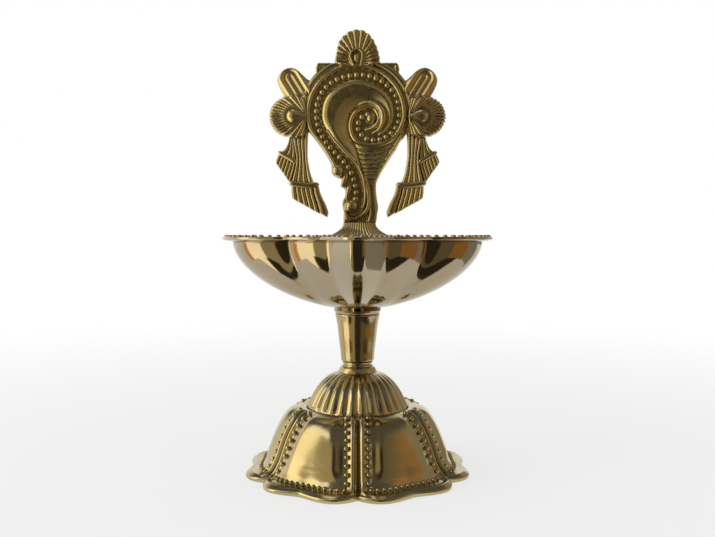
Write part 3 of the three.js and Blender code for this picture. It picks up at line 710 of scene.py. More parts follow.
class FlutedTree(GrowingTree):
    """Turns a profile about the Z axis and cuts flutes into it.

    Each vertex of the profile holds the half width in X, the half width in Y and the height, and
    its flute attribute is the depth of the flutes there.
    """

    def __init__(self) -> None:
        """Builds the tree."""
        super().__init__("turned_and_fluted", {
            "Around": "NodeSocketInt", "Along": "NodeSocketInt", "Flutes": "NodeSocketInt",
            "Shift": "NodeSocketVector", "Material": "NodeSocketMaterial"})
        pen, given = self.pen, self.given
        across = pen.sum("ADD", given["Around"], 1.0)
        grid = pen.put("GeometryNodeMeshGrid", {"Size X": 1.0, "Size Y": 1.0, "Vertices X": across,
                                                "Vertices Y": given["Along"]})
        index = pen.put("GeometryNodeInputIndex")
        row = pen.sum("MODULO", index, given["Along"])
        column = pen.sum("FLOOR", pen.sum("DIVIDE", index, given["Along"]))
        angle = pen.sum("SUBTRACT", pen.sum("DIVIDE", pen.sum("MULTIPLY", column, TURN),
                                            given["Around"]), TURN / 4)
        place = pen.put("GeometryNodeInputPosition")
        depth = pen.put("GeometryNodeInputNamedAttribute", {"Name": "flute"}, data_type="FLOAT")
        read_place = pen.put("GeometryNodeSampleIndex", data_type="FLOAT_VECTOR")
        read_depth = pen.put("GeometryNodeSampleIndex", data_type="FLOAT")
        for reader, value in ((read_place, place), (read_depth, depth)):
            wires = {"Geometry": given["Geometry"], "Value": value, "Index": row}
            for name, source in wires.items():
                pen.feed(reader.inputs[name], source)
        sides = pen.put("ShaderNodeSeparateXYZ", {0: read_place}).outputs
        turn = pen.sum("DIVIDE", pen.sum("MULTIPLY", pen.sum("ADD", angle, TURN / 4),
                                         given["Flutes"]), 2.0)
        crest = pen.sum("ABSOLUTE", pen.sum("SINE", turn))
        cut = pen.sum("MULTIPLY", read_depth, pen.sum("SUBTRACT", 1.0, crest))
        made = pen.put("ShaderNodeCombineXYZ", {
            0: pen.sum("MULTIPLY", pen.sum("SUBTRACT", sides[0], cut), pen.sum("COSINE", angle)),
            1: pen.sum("MULTIPLY", pen.sum("SUBTRACT", sides[1], cut), pen.sum("SINE", angle)),
            2: sides[2]})
        moved = pen.put("ShaderNodeVectorMath", {0: made, 1: given["Shift"]}, operation="ADD")
        shaped = pen.put("GeometryNodeSetPosition", {"Geometry": grid.outputs["Mesh"],
                                                     "Position": moved})
        closed = pen.put("GeometryNodeMergeByDistance", {"Geometry": shaped, "Distance": 2e-6})
        self.close(closed)

    def turn(self, profile: np.ndarray, finish: BrassFinish, around: int, flutes: int = 0,
             shift: Sequence[float] = (0.0, 0.0, 0.0)) -> bpy.types.Mesh:
        """Turns a profile.

        Args:
            profile: Half width in X, half width in Y, height and flute depth, in millimetres.
            finish: Brass of the piece.
            around: Columns in a turn.
            flutes: Number of flutes in a turn.
            shift: How far the piece is moved, in millimetres.

        Returns:
            The closed mesh.
        """
        seed = bpy.data.meshes.new("profile")
        seed.from_pydata((profile[:, :3] * MM).tolist(),
                         [(i, i + 1) for i in range(len(profile) - 1)], [])
        seed.attributes.new("flute", "FLOAT", "POINT").data.foreach_set(
            "value", (profile[:, 3] * MM).astype(np.float32))
        return self.grow(seed, Around=around, Along=len(profile), Flutes=flutes,
                         Shift=[value * MM for value in shift], Material=finish.material())


def round_profile(pairs: Sequence[Sequence[float]],
                  depths: Sequence[float] | None = None) -> np.ndarray:
    """Makes a profile for a round piece and closes it.

    Args:
        pairs: Radius and height of each point.
        depths: Depth of the flutes at each point.

    Returns:
        Rows of half width, half width, height and flute depth.
    """
    flat = np.array(pairs, float)
    cut = np.zeros(len(flat)) if depths is None else np.array(depths, float)
    whole = np.column_stack([flat[:, 0], flat[:, 0], flat[:, 1], cut])
    return whole if flat[0, 0] == 0 else np.vstack([whole, whole[:1]])


def softened(pairs: Sequence[Sequence[float]], radius: float) -> list[list[float]]:
    """Rounds the corners of a profile.

    Args:
        pairs: Radius and height of each corner, the first and last of which stay.
        radius: How far from a corner its rounding starts.

    Returns:
        The rounded profile.
    """
    corners = [np.array(pair, float) for pair in pairs]
    result = [corners[0]]
    for before, here, after in zip(corners, corners[1:], corners[2:]):
        back, ahead = before - here, after - here
        reach = min(radius, np.linalg.norm(back) / 2.2, np.linalg.norm(ahead) / 2.2)
        start = here + back / max(np.linalg.norm(back), 1e-9) * reach
        end = here + ahead / max(np.linalg.norm(ahead), 1e-9) * reach
        for share in (0.0, 0.25, 0.5, 0.75, 1.0):
            rest = 1 - share
            result.append(rest ** 2 * start + 2 * share * rest * here + share ** 2 * end)
    return [list(point) for point in [*result, corners[-1]]]


@dataclass
class FootSkirt:
    """The hollow casting of six petals, with ribs and rows of beads along its seams."""

    petals: int = 6
    crown_radius: float = 22.0
    crown_height: float = 26.5
    shoulder_radius: float = 34.4
    shoulder_height: float = 11.4
    shoulder_slope: float = 69.5
    edge_radius: float = 44.0
    lip: float = 1.9
    notch: float = 3.5
    dent: float = 1.7
    lobe_growth: float = 3.9
    lobe_lean: float = 1.35
    wall: float = 2.2
    rest_width: float = 2.6
    seat_radius: float = 20.5
    web_top: float = 24.2
    web_bottom: float = 21.8
    web_middle: float = 12.0
    rod_hole: float = 2.3
    rib_offset: float = 1.9
    rib_width: float = 0.95
    rib_height: float = 0.85
    rib_corner: float = 4.5
    groove_depth: float = 0.95
    valley_depth: float = 0.5
    border_depth: float = 0.35
    bead_offset: float = 4.1
    bead_radius: float = 0.98
    bead_pitch: float = 2.95
    bead_lift: float = 0.55
    border_offset: float = 5.2
    border_pitch: float = 2.4
    border_radius: float = 0.72
    border_lift: float = 0.2
    border_start: float = 5.4
    border_stretch: float = 1.6
    panel_height: float = 1.15
    row_pitch: float = 0.55

    def profile(self) -> np.ndarray:
        """Radius and height from the crown to the lip's upper edge.

        Returns:
            Evenly spread points.
        """
        crown = np.array([self.crown_radius, self.crown_height])
        shoulder = np.array([self.shoulder_radius, self.shoulder_height])
        edge = np.array([self.edge_radius, self.lip])
        slope = math.radians(self.shoulder_slope)
        down = np.array([math.cos(slope), -math.sin(slope)])
        span = float(np.linalg.norm(shoulder - crown))
        bulge = bezier([crown, crown + [span / 4, 0], shoulder - down * span / 2, shoulder], 60)
        flare = bezier([shoulder, shoulder + down * span / 4, edge - [span / 4, 0], edge], 40)
        return even_line(np.vstack([bulge, flare[1:]]), self.row_pitch)

    def edge(self, from_seam: np.ndarray) -> np.ndarray:
        """Radius of the lower edge.

        Args:
            from_seam: Angle from the nearest seam.

        Returns:
            The radius, with a notch at the seam and two lobes between seams.
        """
        across = np.clip(1 - np.abs(from_seam) / (math.pi / self.petals), 0, 1)
        chord = self.edge_radius - self.dent - (self.notch - self.dent) * across
        return chord + self.lobe_growth * np.sin(math.pi * across ** self.lobe_lean)

    def from_seam(self, angle: np.ndarray) -> np.ndarray:
        """Angle from the nearest seam.

        Args:
            angle: Angle about the stem.

        Returns:
            The signed difference.
        """
        span = TURN / self.petals
        start = np.asarray(angle) + TURN / 4
        return start - span * np.round(start / span)

    def relief(self, side: np.ndarray, below: np.ndarray, above: np.ndarray) -> np.ndarray:
        """How far the surface stands out of the plain petal.

        Args:
            side: Distance from the seam.
            below: Distance along the surface to the lip.
            above: Distance along the surface from the crown.

        Returns:
            The height of the relief.
        """
        shown = eased(0.4, 3.0, above)
        fading = eased(0.0, 4.5, below)
        seam = -self.groove_depth * bell(side, 0, 0.55) * (0.35 + 0.65 * fading)
        across, lower = (np.clip(self.rib_corner - away, 0, None) for away in (side, below + 0.5))
        inward = np.where(np.minimum(across, lower) > 0, self.rib_corner - np.hypot(across, lower),
                          np.minimum(side, below + 0.5))
        rib = self.rib_height * bell(inward, self.rib_offset, self.rib_width)
        valley = -self.valley_depth * bell(side, self.bead_offset, 1.0) * fading
        panel = self.panel_height * eased(5.8, 9.6, side) * eased(1.2, 7.0, above)
        panel = panel * eased(7.0, 12.5, below)
        border = -self.border_depth * bell(below, self.border_offset, 1.2) * eased(2.5, 5.0, side)
        return shown * (seam + rib + valley) + panel + border

    def surface(self, angle: np.ndarray, station: np.ndarray, lift: float = 0.0) -> np.ndarray:
        """Points on the outside.

        Args:
            angle: Angle about the stem.
            station: Distance along the profile from the crown.
            lift: Extra height over the surface.

        Returns:
            The points.
        """
        profile = self.profile()
        reach = run_length(profile)
        radius, height = sampled(station, reach, profile).T
        ahead, rising = sampled(station, reach, np.gradient(profile, reach, axis=0)).T
        away = self.from_seam(angle)
        relief = lift + self.relief(np.abs(away) * radius, reach[-1] - station, station)
        return polar(angle, radius * self.plan(radius, away) - relief * rising,
                     height + relief * ahead)

    def plan(self, radius: np.ndarray, away: np.ndarray) -> np.ndarray:
        """Share by which the petals' outline draws a radius in or out."""
        spread = (radius - self.crown_radius) / (self.edge_radius - self.crown_radius)
        return 1 + np.clip(spread, 0, None) ** 3 * (self.edge(away) / self.edge_radius - 1)

    def columns(self, reach: float) -> np.ndarray:
        """Angles of the columns, close together near the seams.

        Args:
            reach: Radius at which the columns keep their distance from the seam.

        Returns:
            The angles of one turn.
        """
        near = np.concatenate([np.arange(0, 3.0, 0.25), np.arange(3.0, 6.01, 0.5)])
        span = TURN / self.petals
        border = near[-1] / reach
        spread = np.linspace(border, span - border, 26)[1:-1]
        petal = np.concatenate([near / reach, spread, span - near[:0:-1] / reach])
        return np.concatenate([seam * span + petal for seam in range(self.petals)]) - TURN / 4

    def build(self, beads: BeadTree) -> None:
        """Builds the skirt and its beads.

        Args:
            beads: Tree that sets the beads.
        """
        profile = self.profile()
        reach = run_length(profile)
        rings = [self.plain_ring(*pair) for pair in (
            (self.rod_hole, self.web_top), (self.web_middle, self.web_top),
            (self.seat_radius, self.web_top), (self.seat_radius, self.web_top + 1.2),
            (self.seat_radius + 0.5, self.crown_height - 0.35))]
        for station, (radius, _) in zip(reach, profile):
            angles = self.columns(max(radius, self.crown_radius))
            rings.append(self.surface(angles, np.full(len(angles), station)))
        edge, half = self.edge_radius, self.lip / 2
        for turn in np.radians([60, 30, 0, -30, -60, -90]):
            rings.append(self.shaped_ring(edge + 0.7 * half * math.cos(turn),
                                          half * (1 + math.sin(turn))))
        rings.append(self.shaped_ring(edge - self.rest_width, 0.0))
        tangent = np.gradient(profile, reach, axis=0)
        inner = profile + self.wall * np.column_stack([tangent[:, 1], -tangent[:, 0]])
        kept = (inner[:, 0] < edge - self.rest_width - 1) & (inner[:, 1] > 0.4)
        kept &= inner[:, 1] < self.web_bottom - 0.5
        for radius, height in inner[kept][::-3]:
            rings.append(self.shaped_ring(radius, height))
        for radius in (self.crown_radius + 0.6, self.web_middle, self.rod_hole):
            rings.append(self.plain_ring(radius, self.web_bottom))
        Piece("petal_skirt", FOOT_BRASS).from_skin(skin_rings(np.array(rings), True), "foot_skirt")
        self.build_beads(beads, float(reach[-1]))

    def plain_ring(self, radius: float, height: float) -> np.ndarray:
        """A round ring with the skirt's columns."""
        return polar(self.columns(self.crown_radius), radius, height)

    def shaped_ring(self, radius: float, height: float) -> np.ndarray:
        """A ring with the petals' outline."""
        angles = self.columns(max(radius, self.crown_radius))
        return polar(angles, radius * self.plan(radius, self.from_seam(angles)), height)

    def build_beads(self, beads: BeadTree, length: float) -> None:
        """Sets the beads beside the seams and inside the lip.

        Args:
            beads: Tree that sets the beads.
            length: Length of the profile.
        """
        profile = self.profile()
        span = TURN / self.petals
        seam_rows, border_rows = [], []
        stations = np.linspace(2.4, length - self.border_offset - 2.2, 60)
        radius = np.interp(stations, np.linspace(0, length, len(profile)), profile[:, 0])
        for seam in range(self.petals):
            start = seam * span - TURN / 4
            for side in (-1, 1):
                seam_rows.append(self.surface(start + side * self.bead_offset / radius, stations,
                                              self.bead_lift))
            border = self.border_start / self.edge_radius
            sweep = np.linspace(start + border, start + span - border, len(stations))
            border_rows.append(self.surface(sweep,
                                            np.full(len(sweep), length - self.border_offset),
                                            self.border_lift))
        Piece("seam_beads", FOOT_BRASS, spread=0).from_mesh(
            beads.along(seam_rows, False, FOOT_BRASS, self.bead_pitch, self.bead_radius))
        Piece("border_beads", FOOT_BRASS, spread=0).from_mesh(
            beads.along(border_rows, False, FOOT_BRASS, self.border_pitch, self.border_radius,
                        self.border_stretch))


@dataclass
class Column:
    """The fluted dome, the turned stem and the socket under the bowl."""

    lip_radius: float = 20.4
    lip_height: float = 26.4
    seat_height: float = 24.2
    wall: float = 2.6
    flutes: int = 28
    flute_columns: int = 14
    columns: int = 144
    flute_depth: float = 0.95
    collar_radius: float = 7.8
    collar_narrowing: float = 0.7
    collar_bottom: float = 40.2
    collar_top: float = 42.5
    rod_hole: float = 2.3
    socket_radius: float = 4.9
    socket_floor: float = 40.5
    neck_radius: float = 5.7
    stem_top: float = 63.9
    plug_hole: float = 5.7
    plug_radius: float = 5.4
    plug_length: float = 9.0
    boss_radius: float = 8.9
    bowl_bottom: float = 65.5

    def dome_profile(self) -> np.ndarray:
        """The dome's closed profile, with the flutes' depth along it.

        Returns:
            The profile for the fluted tree.
        """
        rise = self.collar_bottom - self.lip_height
        outer = bezier([
            (self.lip_radius, self.lip_height),
            (self.lip_radius - 0.16 * rise, self.lip_height + 0.42 * rise),
            (self.collar_radius + 0.52 * (self.lip_radius - self.collar_radius),
             self.collar_bottom - 0.1 * rise),
            (self.collar_radius, self.collar_bottom)], 40)
        share = np.linspace(0, 1, 40)
        pairs = [(self.lip_radius - 0.5, self.seat_height),
                 (self.lip_radius - 0.1, self.seat_height + 0.7),
                 (self.lip_radius + 0.05, self.lip_height - 0.6)]
        depths = [0.0, 0.0, 0.25]
        depths += list(self.flute_depth * (1 - share ** 2.6) * eased(-0.04, 0.06, share))
        pairs += outer.tolist()
        narrow = self.collar_radius - self.collar_narrowing
        collar = softened([pairs[-1], (self.collar_radius + 0.05, self.collar_bottom + 0.35),
                           (narrow, self.collar_top - 0.4), (narrow - 0.5, self.collar_top),
                           (self.socket_radius, self.collar_top),
                           (self.socket_radius, self.socket_floor),
                           (self.rod_hole, self.socket_floor)], 0.5)[1:]
        inner = outer - np.array([self.wall * 0.8, self.wall])
        inner = inner[(inner[:, 0] > self.rod_hole + 3)][::-4]
        hollow = [(self.rod_hole, inner[0, 1] - 0.2), *inner.tolist(),
                  (self.lip_radius - self.wall - 1.2, self.seat_height)]
        pairs += [tuple(point) for point in collar] + hollow
        depths += [0.0] * (len(pairs) - len(depths))
        return round_profile(pairs, depths)

    def stem_profile(self) -> np.ndarray:
        """The stem's closed profile, neck rings included.

        Returns:
            The profile for the fluted tree.
        """
        bottom, top = self.collar_top, self.stem_top
        neck = [(self.rod_hole, bottom - 1.5), (self.socket_radius - 0.3, bottom - 1.5),
                (self.socket_radius - 0.3, bottom), (self.neck_radius, bottom)]
        for low in (bottom + 0.1, bottom + 1.35):
            neck += [(self.neck_radius, low), (self.neck_radius + 0.55, low + 0.12),
                     (self.neck_radius + 0.6, low + 0.3), (self.neck_radius + 0.5, low + 0.48),
                     (self.neck_radius, low + 0.6)]
        sleeve = [(self.neck_radius + 0.35, bottom + 2.1), (6.5, bottom + 2.25),
                  (6.72, bottom + 2.6), (6.8, bottom + 3.3), (7.0, 48.5), (7.35, 51.5),
                  (7.7, 54.2), (8.05, 57.4), (8.45, 60.4), (8.85, 62.3), (9.15, 63.4),
                  (9.15, top - 0.15), (9.0, top)]
        body = smooth_line(sleeve, 6).tolist()
        floor = top - self.plug_length - 0.5
        hole = [(self.plug_hole, top), (self.plug_hole, floor), (self.rod_hole, floor)]
        return round_profile([*neck, *body, *hole])

    def boss_profile(self) -> np.ndarray:
        """The profile of the socket under the bowl.

        Returns:
            The profile for the fluted tree.
        """
        low, high = self.stem_top, self.bowl_bottom
        outside = [(self.boss_radius - 0.4, low), (self.boss_radius, low + 0.12),
                   (self.boss_radius + 0.2, low + 0.55), (self.boss_radius + 0.55, low + 1.1),
                   (self.boss_radius + 0.95, high - 0.12), (self.boss_radius + 0.6, high)]
        end = low - self.plug_length
        return round_profile([(0, low + 1.0), (self.rod_hole, low + 1.0), (self.rod_hole, end),
                              (self.plug_radius, end), (self.plug_radius, low),
                              *smooth_line(outside, 4).tolist(),
                              (4, high), (4, high + 1.2), (0, high + 1.2)])

    def build(self, fluted: FlutedTree) -> None:
        """Builds the three pieces.

        Args:
            fluted: Tree that turns a profile.
        """
        Piece("fluted_dome", FOOT_BRASS, crease=60).from_mesh(
            fluted.turn(self.dome_profile(), FOOT_BRASS, self.flutes * self.flute_columns,
                        self.flutes),
            "foot_dome")
        Piece("stem_sleeve", STEM_BRASS, crease=40).from_mesh(
            fluted.turn(self.stem_profile(), STEM_BRASS, self.columns), "stem")
        Piece("bowl_socket", BOWL_BRASS, crease=40).from_mesh(
            fluted.turn(self.boss_profile(), BOWL_BRASS, self.columns), "bowl_boss")


@dataclass
class Bowl:
    """The deep lobed bowl with its wick beak, flat flange and rim beads."""

    bottom: float = 65.5
    flange_bottom: float = 93.1
    flange_top: float = 95.1
    floor: float = 3.0
    wall: float = 1.8
    overhang: float = 4.2
    fullness: float = 1.75
    boss_radius: float = 9.5
    keel_foot: float = 10.9
    side_lobe: tuple[float, float] = (30.2, 20.3)
    front_lobe: tuple[float, float, float] = (6.75, 5.25, 24.4)
    back_lobe: tuple[float, float] = (15.0, 18.0)
    beak_reach: float = 43.3
    beak_nose: float = 3.0
    beak_side: float = 56.5
    beak_flat: tuple[float, float] = (42.0, 26.0)
    tab: tuple[float, float] = (18.0, 47.5)
    crease_softness: float = 0.35
    base_softness: float = 7.0
    keel_softness: float = 0.4
    keel_fillet: float = 1.2
    softest: int = 40
    edge_rise: float = 0.75
    columns: int = 720
    rays: int = 4
    rows: int = 46
    bead_radius: float = 1.02
    bead_pitch: float = 3.4
    bead_inset: float = 1.6
    bead_gap: tuple[float, float] = (16.5, 27.0)

    @staticmethod
    def to_circle(angle: np.ndarray, x: float, y: float, radius: float) -> np.ndarray:
        """Distance along a ray from the axis to the far side of a circle.

        Args:
            angle: The ray's angle.
            x: Centre of the circle.
            y: Centre of the circle.
            radius: Radius of the circle.

        Returns:
            The distance, 0 where the ray misses.
        """
        along = x * np.cos(angle) + y * np.sin(angle)
        square = along ** 2 - x * x - y * y + radius ** 2
        return np.where(square < 0, 0.0, along + np.sqrt(np.maximum(square, 0)))

    def to_beak(self, angle: np.ndarray, grown: float, flat: bool = False) -> np.ndarray:
        """Distance along a ray to the beak's outline.

        Args:
            angle: The ray's angle.
            grown: How far the outline is moved outward.
            flat: Whether the nose is a nearly flat strip, not round.

        Returns:
            The distance, 0 away from the beak.
        """
        front = np.abs(np.arctan2(np.cos(angle), -np.sin(angle)))
        side = math.radians(self.beak_side)
        nose = self.beak_reach - self.beak_nose
        radius = self.beak_nose + grown
        tangent = math.atan2(radius * math.sin(side), nose + radius * math.cos(side))
        flank = (radius + nose * math.cos(side)) / np.cos(side - np.minimum(front, math.pi / 3))
        if flat:
            place, bend = self.beak_flat
            reach = np.minimum(flank, self.to_circle(angle, 0, bend - place, bend + grown))
        else:
            reach = np.where(front < tangent, self.to_circle(angle, 0, -nose, radius), flank)
        return np.where(front > math.pi / 3, 0.0, reach)

    def softly(self, whole: np.ndarray, softness: float) -> np.ndarray:
        """Rounds the creases of a plan.

        Args:
            whole: Distances from the axis, on every ray.
            softness: How far the rounding reaches.

        Returns:
            One distance for each column.
        """
        step = TURN / len(whole) * whole.mean()
        taps = np.arange(-self.softest, self.softest + 1)
        weight = bell(taps * step, 0, softness * 1.4)
        weight /= weight.sum()
        return sum(w * np.roll(whole, tap) for tap, w in zip(taps, weight))[::self.rays]

    def reach(self, grown: float, softness: float, rim: bool = False,
              beak: bool = True) -> np.ndarray:
        """Plan of the bowl as a distance from the axis.

        Args:
            grown: How far the outline is moved outward.
            softness: How far the rounding of the creases reaches.
            rim: Whether it is the flange's plan, with the tab under the plaque and a round nose.
            beak: Whether the beak counts.

        Returns:
            The distances.
        """
        fine = self.angles(self.rays)
        offset, radius = self.side_lobe
        side, forward, front = self.front_lobe
        back, back_radius = self.back_lobe
        circles = [(offset, 0, radius), (-offset, 0, radius), (0, back, back_radius)]
        circles += [(x, y, front) for x in (side, -side) for y in (forward, -forward)]
        lobes = [self.to_circle(fine, x, y, size + grown) for x, y, size in circles]
        lobes.append(self.to_beak(fine, grown, not rim) * beak)
        if rim:
            x = np.abs(np.cos(fine)) / self.tab[0]
            y = np.sin(fine) / self.tab[1]
            lobes.append(np.where(y > 0, (x ** 4 + y ** 4) ** -0.25, 0.0))
        return self.softly(np.max(lobes, axis=0), softness)

    def angles(self, rays: int = 1) -> np.ndarray:
        """Angles of the columns."""
        return np.linspace(0, TURN, rays * self.columns, endpoint=False) - TURN / 4

    def side_ring(self, share: float, grown: float, depth: float) -> np.ndarray:
        """One ring of the side. The lobes fade into a round base, and the beak's keel stays.

        Args:
            share: Share of the way down.
            grown: How far the plan is moved outward.
            depth: Depth of the side.

        Returns:
            The ring's points.
        """
        turn = share * math.pi / 2
        width = math.cos(turn) ** (2 / self.fullness)
        drop = depth * math.sin(turn) ** (2 / self.fullness)
        fade = float(eased(0.4, 0.98, share))
        base = sum(self.side_lobe) + grown
        softness = self.crease_softness + self.base_softness * float(eased(0.12, 0.6, share))
        plan = self.reach(grown, softness, beak=False)
        out = (plan + (base - plan) * fade) * width
        beak = self.to_beak(self.angles(self.rays), grown, True)
        keel = self.softly(beak, self.keel_softness * self.crease_softness)
        last = (self.boss_radius / base) ** (self.fullness / 2)
        kept = self.keel_foot / self.beak_flat[0] - self.boss_radius / base
        keel = keel * (width + kept * float(eased(0.35, 1.0, turn / math.acos(last))))
        return self.level_ring(blended(out, keel, self.keel_fillet), self.flange_bottom - drop)

    def level_ring(self, out: np.ndarray | float, height: float) -> np.ndarray:
        """A ring at one height."""
        return polar(self.angles(), out, height)

    def build(self, beads: BeadTree) -> None:
        """Builds the bowl and the beads on its rim.

        Args:
            beads: Tree that sets the beads.
        """
        base = sum(self.side_lobe)
        last = math.acos((self.boss_radius / base) ** (self.fullness / 2)) * 2 / math.pi
        outer, inner = (self.reach(grown, self.crease_softness) for grown in (0.0, -self.wall))
        rim = self.reach(self.overhang, self.crease_softness, rim=True)
        rings = [self.level_ring(out, self.bottom + rise) for out, rise in (
            (4.3, 1.2), (4.3, 0.0), (7.0, 0.0), (self.boss_radius, 0.0))]
        steps = 1 - (1 - np.linspace(0, 1, self.rows)) ** 1.15
        for share in (last * steps)[::-1]:
            rings.append(self.side_ring(float(share), 0.0, self.flange_bottom - self.bottom))
        half = (self.flange_top - self.flange_bottom - self.edge_rise) / 2
        middle = self.flange_top - half
        flange = [(outer + 0.25, self.flange_bottom),
                  (outer + 0.6 * (rim - outer), self.flange_bottom + 0.6 * self.edge_rise)]
        flange += [(rim - half * 0.8 * (1 - math.cos(turn)), middle + half * math.sin(turn))
                   for turn in np.radians(range(-75, 76, 25))]
        flange += [(outer + 0.5 * (rim - outer), self.flange_top), (inner + 0.9, self.flange_top),
                   (inner + 0.3, self.flange_top - 0.18), (inner, self.flange_top - 0.8)]
        rings += [self.level_ring(out, height) for out, height in flange]
        depth = self.flange_bottom - self.bottom - self.floor
        for share in last * steps:
            rings.append(self.side_ring(float(share), -self.wall, depth))
        Piece("lobed_bowl", BOWL_BRASS, crease=60, reach=1.4, spread=1).from_skin(
            skin_rings(np.array(rings), False), "bowl")
        row = self.level_ring(rim - self.bead_inset, self.flange_top - 0.2)
        side, back = self.bead_gap
        behind = (row[:, 1] > back) & (np.abs(row[:, 0]) < side)
        hidden = int(behind.sum())
        row = np.roll(row, -int(np.argmax(behind)) - hidden, axis=0)[:len(row) - hidden]
        Piece("rim_beads", BOWL_BRASS, spread=0).from_mesh(
            beads.along([row], False, BOWL_BRASS, self.bead_pitch, self.bead_radius))


@dataclass
class Plaque:
    """The cast relief plate with its rosettes, leaves and ribbons, and the flare under it.

    Its frame has X to the right, Y up and Z to the front, with the origin in the ring's middle.
    """

    back: float = 40.2
    centre_height: float = 150.6
    thickness: float = 2.6
    ground_drop: float = 0.45
    plate_radius: float = 26.4
    rim_radius: float = 24.6
    ring_radius: float = 21.6
    ring_left: float = 0.7
    coil_points: int = 150
    bar_top: float = 22.9
    pitch: float = 0.3
    bead_radius: float = 1.38
    bead_pitch: float = 2.94
    bead_lift: float = 0.55
    hinge: tuple[float, float] = (22.8, -1.3)
    scallop_offset: float = 7.95
    scallop_radius: float = 9.1
    scallop_valleys: tuple[float, ...] = (0.0, 5.6, 11.2, 16.8, 22.4, 28.0, 33.5, 46.0, 59.0, 72.0,
                                          86.0)
    crown_focus: tuple[float, float] = (-0.3, 23.0)
    crown_rib: float = 13.7
    crown_turn: float = 2.0
    tail_end: float = -49.1
    flare_height: float = 6.4
    flare_flutes: int = 46
    flute_columns: int = 8
    flute_depth: float = 0.62
    flare_foot: tuple[float, float] = (14.6, 6.6)
    flare_waist: tuple[float, float] = (7.4, 3.6)
    flare_growth: tuple[float, float] = (7.9, 3.6)
    flare_place: tuple[float, float, float] = (0.9, 39.0, 0.0)
    ribbon_back: float = 0.3
    ribbon_step: float = 0.07
    back_steps: tuple[tuple[str, float], ...] = (
        ("bar", 0.15), ("rosette", 0.2), ("crown", 0.4), ("leaf", 0.5))

    def place(self, skin: Skin) -> Skin:
        """Moves a skin from the plaque's frame to the lamp's.

        Args:
            skin: Points and faces.

        Returns:
            The moved points and the same faces.
        """
        points, faces = skin
        return np.column_stack([points[:, 0], self.back - points[:, 2],
                                points[:, 1] + self.centre_height]), faces

    def slab(self, outline: np.ndarray, height: Callable[[np.ndarray], np.ndarray],
             edge: float = 0.8, ground: float = 0.0) -> tuple[Skin, np.ndarray]:
        """A plate of free outline whose front follows a relief.

        Args:
            outline: The outline's corners.
            height: Gives the front's height over the back at each point.
            edge: Radius of the rounding at the outline.
            ground: Height under which the front gets painted shade, 0 for none.

        Returns:
            The closed skin and the painted shade of each of its points.
        """
        border = even_line(outline, self.pitch * 1.1, closed=True)
        ahead = np.roll(border, -1, axis=0)
        if (border[:, 0] * ahead[:, 1] - border[:, 1] * ahead[:, 0]).sum() < 0:
            border = border[::-1]
        low, high = border.min(axis=0), border.max(axis=0)
        y, x = np.meshgrid(np.arange(low[1], high[1], self.pitch * 0.87),
                           np.arange(low[0], high[0], self.pitch), indexing="ij")
        x[1::2] += self.pitch / 2
        grid = np.column_stack([x.ravel(), y.ravel()])
        grid = grid[inside(grid, border)]
        grid = grid[line_distance(grid, border, closed=True) > 0.5 * self.pitch]
        given = [Vector(point) for point in np.vstack([border, grid])]
        made, _, faces, *_ = delaunay_2d_cdt(given, [], [list(range(len(border)))], 1, 1e-5, False)
        flat = np.array([tuple(point) for point in made])
        corners = np.array([list(face) for face in faces])
        faces = corners[inside(flat[corners].mean(axis=1), border)].tolist()
        front = height(flat)
        near = np.clip(line_distance(flat, border, closed=True), 0, edge)
        front = front - edge * (1 - rounded(1 - near / edge))
        following = {(a, b) for face in faces for a, b in zip(face, [*face[1:], face[0]])}
        loop = {a: b for a, b in following if (b, a) not in following}
        chain = [next(iter(loop))]
        while loop[chain[-1]] != chain[0]:
            chain.append(loop[chain[-1]])
        count = len(flat)
        behind = np.column_stack([flat[chain], np.zeros(len(chain))])
        points = np.vstack([np.column_stack([flat, front]), behind])
        under = [count + number for number in range(len(chain))]
        walls = [list(wall) for wall in zip(chain, under, [*under[1:], under[0]],
                                            [*chain[1:], chain[0]])]
        painted_shade = np.zeros(len(points))
        # Painted shade on the low ground between the reliefs, fading in from the outline.
        if ground:
            deep = 1 - eased(ground - 0.1, ground + 0.55, front)
            painted_shade[:count] = 0.9 * deep * eased(0.5, 1.4, near)
        return (points, [*faces, *walls, under[::-1]]), painted_shade

    def ridges(self) -> dict[str, np.ndarray]:
        """Centre lines of the rounded ridges.

        Returns:
            Each line by name.
        """
        ring = polar(np.radians(np.arange(198, -11, -6)), self.ring_radius) - [self.ring_left, 0]
        coil = smooth_line([
            *ring[-2:], (18.4, -8.0), (14.0, -12.3), (7.6, -14.1), (1.3, -13.2), (-1.9, -10.7),
            (-3.2, -6.0), (-2.5, -1.9), (-0.6, 0.9), (1.9, 2.5), (4.7, 3.0), (7.7, 2.2),
            (9.5, -0.9), (9.5, -3.4), (8.3, -5.2)])
        lead = smooth_line([(-10.4, -22.9), (-13.8, -17.0), (-16.6, -13.0), (-19.5, -9.4), ring[0],
                            ring[1]])
        return {
            "rim": polar(np.radians(np.arange(186, -7, -4)), self.rim_radius),
            "ring": np.vstack([lead, ring[2:-2], coil]),
            "coil": coil[-self.coil_points:],
            "curl": smooth_line([(3.2, -29.5), (4.2, -32.5), (4.9, -36.2), (5.0, -40.3),
                                 (3.7, -43.9), (0.9, -46.3), (-1.9, -47.3), (-4.5, -46.6),
                                 (-5.3, -45.4)]),
            "lip": smooth_line([(-13.6, -7.6), (-10.2, -12.4), (-4.7, -18.5), (-0.9, -22.3),
                                (0.9, -25.0), (2.4, -28.9), (3.2, -33.3), (3.4, -37.6),
                                (2.9, -40.9), (2.0, -42.4)]),
            "side": smooth_line([(19.9, -9.6), (16.5, -15.2), (13.6, -19.6), (11.2, -23.6),
                                 (9.3, -27.2), (7.7, -31.0), (7.4, -35.0)]),
        }

